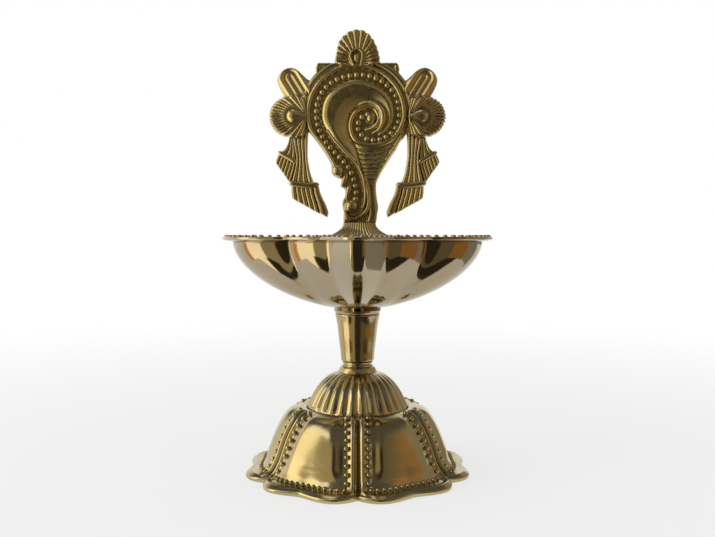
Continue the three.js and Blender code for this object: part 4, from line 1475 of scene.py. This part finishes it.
    def body_outline(self) -> np.ndarray:
        """Outline of the shell's smooth body, from the tail up the left, round the top and back.

        Returns:
            The outline's corners.
        """
        return smooth_line([
            (1.1, -43.1), (2.4, -41.0), (2.9, -37.6), (2.5, -33.3), (1.7, -29.0), (0.2, -25.2),
            (-1.5, -22.6), (-5.2, -18.9), (-10.8, -12.7), (-15.0, -6.7), (-16.5, -2.6),
            (-16.6, 0.8), (-15.8, 5.0), (-13.5, 9.2), (-9.2, 13.0), (-4.5, 15.2), (0.3, 15.8),
            (5.5, 14.8), (9.9, 12.6), (13.6, 9.2), (15.9, 5.2), (16.8, 0.8), (16.3, -3.2),
            (14.6, -6.7), (11.6, -9.3), (9.4, -9.3), (10.2, -7.6), (11.8, -5.6), (12.5, -3.6),
            (12.6, -1.5), (11.8, 0.8), (10.0, 3.2), (7.5, 4.5), (4.7, 4.7), (1.5, 3.9),
            (-1.5, 2.0), (-3.8, -1.2), (-4.5, -6.0), (-3.3, -11.3), (-1.3, -14.0), (-0.2, -16.6),
            (1.4, -22.4), (2.4, -26.5), (3.1, -30.9), (4.1, -35.0), (4.2, -39.0), (3.2, -42.5),
            (1.9, -44.2)], 4)

    def bead_row(self) -> np.ndarray:
        """The line of the beads, from the tail round the top and into the coil.

        Returns:
            The line, in the plaque's plane.
        """
        return smooth_line([
            (-0.9, -38.4), (-0.6, -35.9), (-1.7, -29.8), (-4.1, -24.2), (-8.1, -19.6),
            (-12.3, -15.3), (-15.9, -10.3), (-18.0, -4.8), (-18.5, 1.0), (-17.4, 6.8),
            (-14.2, 11.9), (-9.1, 15.5), (-3.8, 17.0), (2.2, 17.4), (8.2, 16.0), (13.6, 12.5),
            (17.4, 7.7), (18.7, 2.0), (18.4, -4.0), (14.9, -9.0), (9.2, -11.7), (3.2, -10.8),
            (0.0, -5.9), (2.3, -1.1), (4.6, -0.3)], 6)

    def shell_height(self, points: np.ndarray) -> np.ndarray:
        """Relief of the main plate.

        Args:
            points: Where to read it.

        Returns:
            Height over the back.
        """
        ground = self.thickness - self.ground_drop
        relief = self.spire(points)
        lines = self.ridges()
        outline = self.body_outline()
        round_off = np.interp(points[:, 1], (-30, -12), (1.2, 3.4))
        depth = np.clip(line_distance(points, outline, closed=True) / round_off, 0, 1)
        low = 0.55 + 0.45 * eased(2.0, 8.5, line_distance(points, lines["coil"]))
        body = np.interp(points[:, 1], (-44, -14), (1.7, 3.0)) * low * rounded(1 - depth)
        relief = blended(relief, body * inside(points, outline), 0.3)
        for name, width, crest in (("rim", 1.75, 1.15), ("ring", 1.3, 2.1), ("curl", 1.25, 2.3),
                                   ("lip", 0.8, 2.6), ("side", 0.8, 1.5)):
            away = line_distance(points, lines[name]) / width
            relief = blended(relief, crest * rounded(away), 0.25)
        for form in ([(-0.6, 3.3, 0.3, 0.8), (2.0, 4.6, 0.9, 1.9), (5.2, 5.1, 1.3, 2.8),
                      (8.6, 4.0, 1.7, 3.3), (10.8, 1.6, 1.9, 3.5), (11.5, -1.4, 1.9, 3.4),
                      (11.2, -4.3, 1.5, 3.0), (9.6, -7.0, 1.0, 2.2), (7.2, -8.4, 0.4, 0.9)],
                     [(9.4, -3.7, 1.3, 2.1), (8.3, -5.2, 1.25, 2.0), (6.4, -6.5, 1.0, 1.5),
                      (4.2, -7.0, 0.6, 0.8)],
                     [(-4.7, -26.5, 0.5, 0.9), (-5.4, -28.6, 1.5, 2.1), (-6.5, -31.0, 1.1, 1.8),
                      (-6.9, -32.9, 0.4, 0.9)],
                     [(-3.5, -31.2, 0.5, 0.9), (-3.9, -33.8, 1.5, 2.1), (-4.6, -36.4, 1.1, 1.8),
                      (-4.8, -38.4, 0.4, 0.9)]):
            relief = blended(relief, swollen(points, form), 0.3)
        for x, y, radius, lift in ((6.1, -2.1, 2.3, 0.3), (-9.0, -25.6, 2.9, 0.3),
                                   (-2.8, -41.6, 3.0, 0.5)):
            away = np.hypot(points[:, 0] - x, points[:, 1] - y)
            dome = radius * rounded(away / radius) + lift * (away < radius)
            relief = blended(relief, dome, 0.3)
        return ground + relief

    def spire(self, points: np.ndarray) -> np.ndarray:
        """Relief of the ribbed spire under the coil and of the smooth tail that it runs into.

        Args:
            points: Where to read it.

        Returns:
            Height over the ground, 0 beside the spire.
        """
        x, y = points.T
        rows = np.array([(-49.2, 4.0, 8.9, 1.4), (-44.8, 5.0, 9.0, 1.6), (-38.4, 4.6, 8.6, 1.8),
                         (-34.8, 3.6, 8.4, 1.8), (-30.4, 2.8, 8.6, 1.9), (-26.8, 2.2, 10.3, 1.9),
                         (-24.0, 1.6, 12.0, 1.8), (-21.0, 0.8, 13.9, 1.7), (-18.5, 0.2, 15.5, 1.6),
                         (-16.0, -0.6, 17.2, 1.5), (-13.0, -1.6, 19.2, 1.4),
                         (-8.0, -3.0, 21.0, 1.4)])
        left, right, crest = (np.interp(y, rows[:, 0], rows[:, k]) for k in (1, 2, 3))
        across = (2 * x - left - right) / (right - left)
        coil = np.interp(x, (-3.0, -1.9, 1.3, 7.6, 14.0, 18.4, 21.0),
                         (-9.0, -10.8, -13.3, -14.2, -12.4, -8.0, -3.0))
        level = y - 0.028 * (x - 6.1) ** 2 * eased(-30, -19, y)
        crests = np.array([-31.9, -30.6, -28.9, -27.3, -25.7, -24.1, -22.3, -20.3, -18.1, -15.9])
        phase = np.interp(level, crests, np.arange(len(crests)))
        shown = eased(-32.0, -31.0, level) * (1 - eased(-16.6, -14.8, level))
        groove = (np.sqrt(np.abs(np.cos(math.pi * phase))) - 1) * shown
        surface = crest * rounded(across, 4) + 0.8 * groove
        return np.where((np.abs(across) < 1) & (y < coil), np.clip(surface, 0, None), 0.0)

    def shell_outline(self) -> np.ndarray:
        """Outline of the main plate: a disc cut level at the top, then the tail.

        Returns:
            The outline's corners.
        """
        level = math.degrees(math.asin(self.bar_top / self.plate_radius))
        sweep = np.radians([*np.linspace(-8, level, 26), *np.linspace(180 - level, 188, 26)])
        disc = polar(sweep, self.plate_radius)
        left = smooth_line([disc[-1], (-22.2, -8.0), (-20.8, -9.5), (-17.9, -13.3), (-15.1, -17.1),
                            (-12.3, -22.0), (-11.9, -24.5), (-11.5, -27.1), (-9.6, -28.5),
                            (-7.5, -29.3), (-7.5, -31.2), (-7.7, -32.6), (-5.9, -33.8),
                            (-5.6, -36.5), (-6.7, -39.2), (-6.9, -41.0), (-6.3, -43.9),
                            (-6.4, -46.0), (-6.4, self.tail_end)], 5)
        right = smooth_line([(8.5, self.tail_end), (9.0, -45.5), (9.4, -42.0), (8.9, -38.4),
                             (8.5, -34.6), (8.5, -32.2), (8.9, -30.4), (10.6, -26.8),
                             (12.3, -24.0), (14.2, -21.0), (15.8, -18.5), (17.5, -16.0),
                             (19.2, -12.7), (20.8, -10.9), (22.4, -8.6), disc[0]], 5)
        return np.vstack([disc, left[1:], right[:-1]])

    def from_hinge(self, points: np.ndarray, side: float) -> tuple[np.ndarray, np.ndarray]:
        """Place of points seen from the hinge of a side rosette."""
        return points[:, 0] * side - self.hinge[0], points[:, 1] - self.hinge[1]

    def scallop_phase(self, turn: np.ndarray) -> np.ndarray:
        """Number of a side rosette's ribs between its middle and an angle in degrees."""
        return np.interp(turn, self.scallop_valleys, range(len(self.scallop_valleys)))

    def rosette_height(self, points: np.ndarray, side: float) -> np.ndarray:
        """Relief of a side rosette, a scallop whose ribs spread from its hinge beside the ring.

        Args:
            points: Where to read it.
            side: 1 on the right, -1 on the left.

        Returns:
            Height over the back.
        """
        x, y = self.from_hinge(points, side)
        away, turn = np.hypot(x, y), np.degrees(np.abs(np.arctan2(y, x)))
        groove = rib_wave(self.scallop_phase(turn)) - 1
        shown = np.where(turn < 40, eased(4.0, 6.2, np.hypot(x - 6.1, y)), eased(2.0, 4.5, away))
        surface = 2.2 - 1.9 * eased(72, 100, turn) + 0.95 * groove * shown
        drop = swollen(np.column_stack([x, y]), [(-0.3, 0, 0.3, 2.5), (1.8, 0, 1.2, 2.8),
                                                 (4.2, 0, 2.6, 3.1), (6.1, 0, 3.4, 3.3)], 2.6)
        return self.thickness + blended(surface, drop, 0.2)

    def rosette_outline(self, side: float) -> np.ndarray:
        """Toothed outline of a side rosette.

        Args:
            side: 1 on the right, -1 on the left.

        Returns:
            The outline's corners.
        """
        turn = np.radians(np.linspace(-84, 84, 400))
        away = np.degrees(np.abs(turn))
        circle = Bowl.to_circle(turn, self.scallop_offset, 0, self.scallop_radius)
        wave = np.abs(np.sin(math.pi * self.scallop_phase(away)))
        tooth = (0.45 + 0.35 * eased(33, 46, away)) * (1 - wave ** 0.7)
        reach = circle + 2.0 * eased(44, 66, away) + 0.8 * eased(66, 78, away) - tooth
        closed = np.vstack([polar(turn, reach), (-0.6, 3.2), (-0.9, 0.0), (-0.6, -3.2)])
        return (closed + self.hinge) * np.array([side, 1.0])

    def crown_phase(self, points: np.ndarray) -> np.ndarray:
        """Number of ribs of the top rosette between its middle rib and each point."""
        turn = np.arctan2(points[:, 0] - self.crown_focus[0], points[:, 1] - self.crown_focus[1])
        return (np.degrees(turn) + self.crown_turn) / self.crown_rib

    def crown_height(self, points: np.ndarray) -> np.ndarray:
        """Relief of the rosette on top.

        Args:
            points: Where to read it.

        Returns:
            Height over the back.
        """
        away = np.hypot(*(points - self.crown_focus).T)
        ribs = np.sqrt(np.abs(np.cos(math.pi * self.crown_phase(points))))
        surface = 1.5 + 1.1 * eased(3.2, 7.5, away) + 1.15 * (ribs - 1) * eased(2.5, 5.5, away)
        loop = smooth_line([(-1.7, 20.9), (-2.6, 23.0), (-3.3, 25.4), (-2.6, 27.5), (-0.5, 28.5),
                            (1.5, 27.6), (2.2, 25.5), (1.7, 23.0), (1.3, 20.9)])
        band = 3.2 * rounded(line_distance(points, loop) / 0.85)
        oval = 3.1 * rounded(np.hypot(*((points - (-0.7, 24.7)) / (1.6, 2.8)).T))
        inner = np.where(inside(points, loop), np.maximum(1.2, oval), surface)
        return self.thickness + blended(inner, band, 0.2)

    def crown_outline(self) -> np.ndarray:
        """Toothed arch of the rosette on top.

        Returns:
            The outline's corners.
        """
        arch = even_line(smooth_line([
            (10.2, 22.6), (9.9, 25.4), (9.2, 28.2), (8.2, 30.8), (6.6, 33.6), (4.9, 35.5),
            (2.5, 36.9), (-0.3, 37.3), (-3.3, 36.6), (-5.8, 35.0), (-7.7, 33.0), (-8.9, 30.4),
            (-9.5, 27.6), (-10.0, 25.0), (-10.3, 22.6)]), 0.15)
        tooth = 0.35 * (1 - np.abs(np.cos(math.pi * self.crown_phase(arch))) ** 0.7)
        inward = arch - self.crown_focus
        arch = arch - tooth[:, None] * inward / np.linalg.norm(inward, axis=1)[:, None]
        return np.vstack([arch, (-7.3, 21.5), (-2.3, 20.8), (2.3, 20.8), (6.5, 21.3)])

    def leaf(self, side: float) -> tuple[Skin, np.ndarray]:
        """An oblong leaf with a groove along its axis inside two nested ridges.

        Args:
            side: 1 on the right, -1 on the left.

        Returns:
            The closed skin and the painted shade of each of its points.
        """
        turned = np.array([side, 1.0])
        outline = smooth_line([
            (19.5, 14.5), (22.4, 15.5), (24.5, 17.4), (26.6, 19.2), (28.3, 20.2), (30.2, 20.6),
            (32.4, 20.0), (34.4, 18.5), (35.7, 16.7), (36.1, 14.9), (35.6, 12.9), (34.5, 10.3),
            (33.2, 8.0), (31.6, 4.5), (24.0, 1.5)]) * turned
        axis = np.array([(24.6, 7.0), (30.3, 16.3)]) * turned

        def height(points: np.ndarray) -> np.ndarray:
            """Relief of the leaf."""
            away = line_distance(points, axis)
            return self.thickness + 0.85 * bell(away, 1.4, 0.7) + 1.15 * bell(away, 4.2, 1.2)
        return self.slab(outline, height, 0.8, self.thickness + 0.2)

    def ribbed(self, outer: Sequence, inner: Sequence, ribs: int, front: float, teeth: float = 0.0,
               rise: float = 0.0) -> Skin:
        """A closed slab between two edges, with ribs that run along it.

        Args:
            outer: Stations of one edge.
            inner: Stations of the other edge.
            ribs: Number of ribs.
            front: Height of its crests over the back.
            teeth: How far each rib sticks out at the end.
            rise: How much lower its start lies.

        Returns:
            The closed skin.
        """
        per_rib, along = 12, 36
        across = np.linspace(0, 1, ribs * per_rib + 1)
        wave = rib_wave(across * ribs)
        edges = [even_line(smooth_line(edge, 8), 0.05) for edge in (outer, inner)]
        rings = []
        for share in np.linspace(0, 1, along):
            tail = share + teeth * wave * eased(0.8, 1.0, share)
            left, right = (sampled(tail, np.linspace(0, 1, len(edge)), edge) for edge in edges)
            beyond = np.clip(tail - 1, 0, None)[:, None]
            push = 6 * beyond * ((edges[0][-1] - edges[0][-12]) + (edges[1][-1] - edges[1][-12]))
            flat = left + across[:, None] * (right - left) + push
            border = np.minimum(np.minimum(across, 1 - across) * 14, 1)
            end = eased(0, 0.04, 1 - share)
            high = front - 0.9 * (1 - wave) - 0.6 * (1 - border) - 0.7 * (1 - end)
            high = high - rise * (1 - eased(0.0, 0.35, share))
            rings.append(np.column_stack([np.vstack([flat, flat[::-1]]),
                                          np.append(high, 0 * high)]))
        return skin_rings(np.array(rings), False)

    def cord(self, stations: Sequence, width: float, height: float) -> Skin:
        """A rounded band tied across a ribbon.

        Args:
            stations: x and y along it.
            width: Its half width.
            height: Height of its middle over the back.

        Returns:
            The closed skin.
        """
        line = smooth_line(stations, 6)
        tangent = np.gradient(line, axis=0)
        tangent /= np.linalg.norm(tangent, axis=1)[:, None]
        beside = np.column_stack([-tangent[:, 1], tangent[:, 0]])
        turn = np.linspace(0, TURN, 16, endpoint=False)
        ends = np.sqrt(np.clip(1 - np.linspace(-1, 1, len(line)) ** 8, 0.05, 1))
        rings = []
        for point, out, size in zip(line, beside, ends):
            flat = point + np.outer(np.cos(turn) * width * size, out)
            rings.append(np.column_stack([flat, height + np.sin(turn) * 0.8 * width * size]))
        return skin_rings(np.array(rings), False)

    def ribbon(self, side: float) -> Skin:
        """One hanging ribbon with its fringes and ties.

        Args:
            side: 1 on the right, -1 on the left.

        Returns:
            Its closed skins in one.
        """
        fold = [(20.3, -32.0), (19.7, -36.2), (18.4, -40.4), (17.2, -44.8)]
        skins = [
            self.ribbed([(30.0, -6.5), (29.2, -12.0), (28.0, -18.5), (28.0, -22.5), (29.0, -27.0),
                         (30.4, -31.6)],
                        [(22.0, -6.5), (22.4, -11.1), (22.5, -18.9), (22.0, -23.1), (21.1, -27.3),
                         (19.4, -31.8)], 4, 4.1, rise=1.6),
            self.ribbed([(29.9, -31.3), (30.0, -34.5), (29.7, -37.8)], fold, 5, 3.9, 0.05),
            self.ribbed(fold, [(17.6, -32.4), (16.6, -36.2), (14.5, -40.6), (13.2, -44.4),
                               (13.7, -46.7)], 1, 3.9),
            self.ribbed([(30.8, -7.0), (31.0, -11.1), (32.8, -15.4), (35.4, -17.5)],
                        [(28.6, -7.0), (28.8, -12.0), (28.0, -18.0), (27.6, -22.2)], 3, 3.3,
                        rise=1.0),
            self.ribbed([(35.3, -17.4), (36.6, -19.6), (37.2, -21.6)],
                        [(27.8, -21.6), (28.7, -26.2), (30.3, -31.4)], 6, 3.1, 0.03),
            self.cord([(31.0, -31.1), (27.8, -31.7), (23.0, -32.2), (17.2, -31.9)], 1.35, 4.05),
            self.cord([(35.9, -17.2), (32.6, -18.9), (30.0, -20.4), (27.5, -22.0)], 1.1, 3.25)]
        for number, (points, _) in enumerate(skins[:-2]):
            points[:, 2] = np.maximum(points[:, 2], self.ribbon_back + self.ribbon_step * number)
        points, faces = joined(skins)
        return points * (side, 1.0, 1.0), [face[::-1] for face in faces] if side < 0 else faces

    def bar(self) -> tuple[Skin, np.ndarray]:
        """The flat bar behind the rosette on top.

        Returns:
            The closed skin and the painted shade of each of its points.
        """
        outline = np.array([(18.6, 17.6), (18.9, 20.2), (18.3, 22.3), (17.4, self.bar_top),
                            (-17.4, self.bar_top), (-18.3, 22.3), (-18.9, 20.2), (-18.6, 17.6)])

        def height(points: np.ndarray) -> np.ndarray:
            """Relief of the bar, with a raised border along its top and its ends.

            Args:
                points: Where to read it.

            Returns:
                Height over the back.
            """
            inner = np.maximum(np.abs(points[:, 0]) - 16.9, points[:, 1] - 21.4)
            raised = self.thickness - 0.3 + 0.8 * eased(-0.35, 0.35, inner)
            return np.where(np.hypot(*points.T) < self.plate_radius - 0.5, 1.2, raised)
        return self.slab(outline, height, 0.6, self.thickness - 0.3)

    def cast(self, name: str, skin: Skin, *replaced: str, painted_shade: np.ndarray | None = None) -> None:
        """Casts one plate of the plaque.

        Args:
            name: Name of the piece.
            skin: Its points and faces, in the plaque's frame.
            replaced: CAD nodes that it stands for.
            painted_shade: Painted shade of each point, from 0 to 1.
        """
        piece = Piece(name, PLAQUE_BRASS, crease=75, spread=5)
        piece.from_skin(self.place(skin), *replaced, painted_shade=painted_shade)

    def build(self, beads: BeadTree, fluted: FlutedTree) -> None:
        """Builds every piece of the plaque.

        Args:
            beads: Tree that sets the beads.
            fluted: Tree that turns a profile.
        """
        ground = self.thickness - self.ground_drop
        skin, painted_shade = self.slab(self.shell_outline(), self.shell_height, 0.8, ground)
        self.cast("shell_plate", skin, "plaque", painted_shade=painted_shade)
        row = self.bead_row()
        lifted = np.column_stack([row, np.full(len(row), ground + self.bead_lift)])
        row_mesh = beads.along([self.place((lifted, []))[0]], False, PLAQUE_BRASS, self.bead_pitch,
                               self.bead_radius, unevenness=0.07)
        Piece("shell_beads", PLAQUE_BRASS, spread=0).from_mesh(row_mesh)
        slabs = {"crown_rosette": self.slab(self.crown_outline(), self.crown_height, 0.7),
                 "bar_behind_crown": self.bar()}
        for side, word in ((1.0, "right"), (-1.0, "left")):
            slabs[f"rosette_{word}"] = self.slab(self.rosette_outline(side),
                                                 lambda points: self.rosette_height(points, side),
                                                 1.4)
            slabs[f"leaf_{word}"] = self.leaf(side)
            ribbon = Piece(f"ribbon_{word}", PLAQUE_BRASS, crease=60)
            ribbon.from_skin(self.place(self.ribbon(side)))
        steps = dict(self.back_steps)
        for name, (skin, painted_shade) in slabs.items():
            skin[0][:, 2] = np.maximum(skin[0][:, 2], steps[name.split("_")[0]])
            self.cast(name, skin, painted_shade=painted_shade)
        self.build_flare(fluted)

    def build_flare(self, fluted: FlutedTree) -> None:
        """Builds the fluted flare that the plaque stands on.

        Args:
            fluted: Tree that turns a profile.
        """
        share = np.linspace(0, 1, 26)
        spread = (1 - share) ** 2.2
        bottom = self.centre_height + self.tail_end - self.flare_height
        halves = self.flare_waist + np.outer(spread, self.flare_growth)
        depth = self.flute_depth * eased(0, 0.08, share) * (1 - 0.4 * share)
        outside = np.column_stack([halves, bottom + self.flare_height * share, depth])
        profile = np.vstack([[0, 0, bottom, 0], [*self.flare_foot, bottom, 0], outside,
                             [0, 0, bottom + self.flare_height, 0]])
        Piece("plaque_flare", PLAQUE_BRASS, crease=60).from_mesh(
            fluted.turn(profile, PLAQUE_BRASS, self.flare_flutes * self.flute_columns,
                        self.flare_flutes, self.flare_place), "plaque_foot")


@dataclass
class Fasteners:
    """The turned pieces that hold the lamp together. Their solids are shown as they are."""

    names: tuple[str, ...] = ("tie_rod", "rod_washer", "rod_nut", "plaque_screw_left",
                              "plaque_screw_right")

    def dress(self) -> None:
        """Gives each solid its finish."""
        for name in self.names:
            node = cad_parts[name]
            node.data.materials.clear()
            node.data.materials.append(FASTENER_BRASS.material())
            LOG.info("%s: dressed", name)


@dataclass
class Studio:
    """Pale floor, soft lamps and the camera."""

    floor_size: float = 8.0
    lens: float = 39.78
    eye: tuple[float, float, float] = (0.0, -0.3215, 0.0946)
    pitch: float = -2.21
    pale: float = 1.0
    ceiling: float = 0.12
    dusk: tuple[float, float] = (0.36, 0.72)
    paper: float = 0.90
    fading: tuple[float, float] = (0.05, 0.6)
    glow_share: float = 0.72
    paper_front: float = 0.049
    shade_front: float = 0.10
    paper_side: float = 0.15
    wall_away: float = 0.9
    wall_height: float = 0.75
    card_heights: tuple[float, float, float] = (0.002, 0.004, 0.012)
    card_steps: int = 8
    aim: tuple[float, float, float] = (0.0, 0.0, 0.1)

    def world(self) -> None:
        """Lights the room: pale all round, darker overhead."""
        world = bpy.data.worlds.new("room")
        bpy.context.scene.world = world
        pen = NodePen.afresh(world)
        way = pen.put("ShaderNodeTexCoord").outputs["Generated"]
        up = pen.put("ShaderNodeSeparateXYZ", {0: way}).outputs[2]
        share = pen.step(up, *self.dusk)
        level = [(value,) * 3 for value in (self.pale, self.ceiling)]
        colour = pen.mix(share, *level)
        light = pen.put("ShaderNodeBackground", {"Color": colour, "Strength": 1.0})
        pen.put("ShaderNodeOutputWorld", {"Surface": light})

    def floor(self) -> None:
        """Lays the floor, which keeps the lamp's shadow and meets the pale room far away."""
        half = self.floor_size / 2
        mesh = bpy.data.meshes.new("floor")
        mesh.from_pydata([(-half, -half, 0), (half, -half, 0), (half, half, 0), (-half, half, 0)],
                         [], [(0, 1, 2, 3)])
        made = bpy.data.materials.new("pale_floor")
        pen = NodePen.afresh(made)
        place = pen.put("ShaderNodeTexCoord").outputs["Object"]
        away = pen.put("ShaderNodeVectorMath", {0: place}, operation="LENGTH").outputs["Value"]
        rays = pen.put("ShaderNodeLightPath").outputs
        seen = pen.sum("MAXIMUM", rays["Is Camera Ray"],
                       pen.sum("MAXIMUM", rays["Is Glossy Ray"], rays["Is Transmission Ray"]))
        share = pen.sum("MULTIPLY", seen, pen.step(away, *self.fading, self.glow_share))
        matt = pen.put("ShaderNodeBsdfDiffuse", {"Color": (*(self.paper,) * 3, 1.0)})
        glow = pen.put("ShaderNodeEmission", {"Color": (*(self.pale,) * 3, 1.0), "Strength": 1.0})
        pale = pen.put("ShaderNodeMixShader", {0: share, 1: matt, 2: glow})
        behind = pen.put("ShaderNodeNewGeometry").outputs["Backfacing"]
        clear = pen.put("ShaderNodeBsdfTransparent")
        whole = pen.put("ShaderNodeMixShader", {0: behind, 1: pale, 2: clear})
        pen.put("ShaderNodeOutputMaterial", {"Surface": whole})
        mesh.materials.append(made)
        laid = linked("floor", mesh)

    def card(self, name: str, sweep: tuple[float, float], front: tuple[float, float],
             rise: tuple[float, float], colour: Colour) -> None:
        """Stands or lays a card that only polished surfaces show, no farther off than the wall.

        Args:
            name: Its name.
            sweep: Where it starts and ends, in degrees from the front, above 0 to the right.
            front: How far in front of the lamp its bottom and its top lie, in metres.
            rise: Height of its bottom and of its top, in metres.
            colour: Its colour as a reflection shows it.
        """
        turn = np.radians(np.linspace(*sweep, self.card_steps + 1))
        rows = []
        for ahead, height in zip(front, rise):
            farthest = self.wall_away if ahead == self.wall_away else self.paper_side
            away = np.minimum(ahead / np.maximum(np.cos(turn), 0.01), farthest)
            rows.append(polar(turn - TURN / 4, away, height))
        mesh = bpy.data.meshes.new(name)
        upper = self.card_steps + 1
        mesh.from_pydata(np.vstack(rows).tolist(), [],
                         [(i, i + 1, i + 1 + upper, i + upper) for i in range(self.card_steps)])
        made = bpy.data.materials.new(name)
        pen = NodePen.afresh(made)
        glow = pen.put("ShaderNodeEmission", {"Color": (*colour, 1.0), "Strength": 1.0})
        pen.put("ShaderNodeOutputMaterial", {"Surface": glow})
        mesh.materials.append(made)
        card = linked(name, mesh)
        for kind in ("camera", "diffuse", "shadow", "transmission"):
            setattr(card, f"visible_{kind}", False)

    def surroundings(self) -> None:
        """Sets the cards: a window on the left, a dark room, a warm curtain on the right.

        They stand as a wall, and lie before the paper as the room's floor, darker close by.
        """
        low = self.card_heights
        rows = {
            "wall": ((self.wall_away, self.wall_away), (low[2], self.wall_height)),
            "floor": ((self.shade_front, self.wall_away), low[1:]),
            "shade": ((self.paper_front, self.shade_front), low[:2])}
        orange, bright, pane = (0.95, 0.50, 0.22), (2.0, 1.85, 1.45), (0.50, 0.43, 0.26)
        dark, dim = (0.045, 0.035, 0.025), (0.19, 0.155, 0.095)
        amber, grey = (0.42, 0.21, 0.06), (0.36, 0.33, 0.28)
        sectors = {
            "wall": [(-97, orange), (-92, bright), (-64, pane), (-15, dark), (16, dim),
                     (62, amber), (76, grey), (150, grey)],
            "floor": [(-97, orange), (-86, bright), (-50, pane), (-17, dark), (18, dim),
                      (50, amber), (86, grey), (120, grey)],
            "shade": [(-97, orange), (-86, bright), (-54, dark), (-32, pane), (-15, dark),
                      (86, dark)]}
        for kind, (front, rise) in rows.items():
            spans = zip(sectors[kind], sectors[kind][1:])
            for number, ((start, colour), (end, _)) in enumerate(spans):
                self.card(f"{kind}_{number}", (start, end), front, rise, colour)

    def lamp(self, name: str, place: Sequence[float], size: Sequence[float], level: float,
             colour: Colour = (1.0, 1.0, 1.0)) -> None:
        """Hangs a soft lamp that looks at the oil lamp.

        Args:
            name: Its name.
            place: Where it hangs, in metres.
            size: Its width and height, in metres.
            level: Its brightness as a reflection shows it.
            colour: Colour of its light.
        """
        data = bpy.data.lights.new(name, "AREA")
        data.shape = "RECTANGLE"
        data.size, data.size_y = size
        data.energy = level * math.pi * size[0] * size[1]
        data.color = colour
        hung = linked(name, data)
        hung.location = place
        way = Vector(self.aim) - Vector(place)
        hung.rotation_euler = way.to_track_quat("-Z", "Y").to_euler()

    def camera(self) -> None:
        """Stands the camera where the photograph was taken from."""
        data = bpy.data.cameras.new("camera")
        data.sensor_width = 36.0
        data.lens = self.lens
        data.clip_start = 0.01
        camera = linked("camera", data)
        camera.location = self.eye
        camera.rotation_euler = (math.radians(90 + self.pitch), 0, 0)
        bpy.context.scene.camera = camera

    def build(self) -> None:
        """Sets up the whole studio."""
        bpy.context.scene.view_settings.view_transform = "Standard"
        self.world()
        self.floor()
        self.surroundings()
        self.lamp("left_window", (-0.95, -0.35, 0.55), (0.7, 0.9), 1.6)
        self.lamp("right_fill", (0.95, -0.5, 0.45), (0.4, 0.6), 1.1, (1.0, 0.93, 0.82))
        self.lamp("top_lamp", (-0.1, 0.15, 1.1), (0.5, 0.5), 1.6)
        self.camera()


def main() -> None:
    """Builds the lamp piece by piece, then the studio round it."""
    logging.basicConfig(level=logging.INFO, format="%(name)s %(message)s")
    beads, fluted = BeadTree(), FlutedTree()
    FootSkirt().build(beads)
    Column().build(fluted)
    Bowl().build(beads)
    Plaque().build(beads, fluted)
    Fasteners().dress()
    Studio().build()


if __name__ == "__main__":
    main()
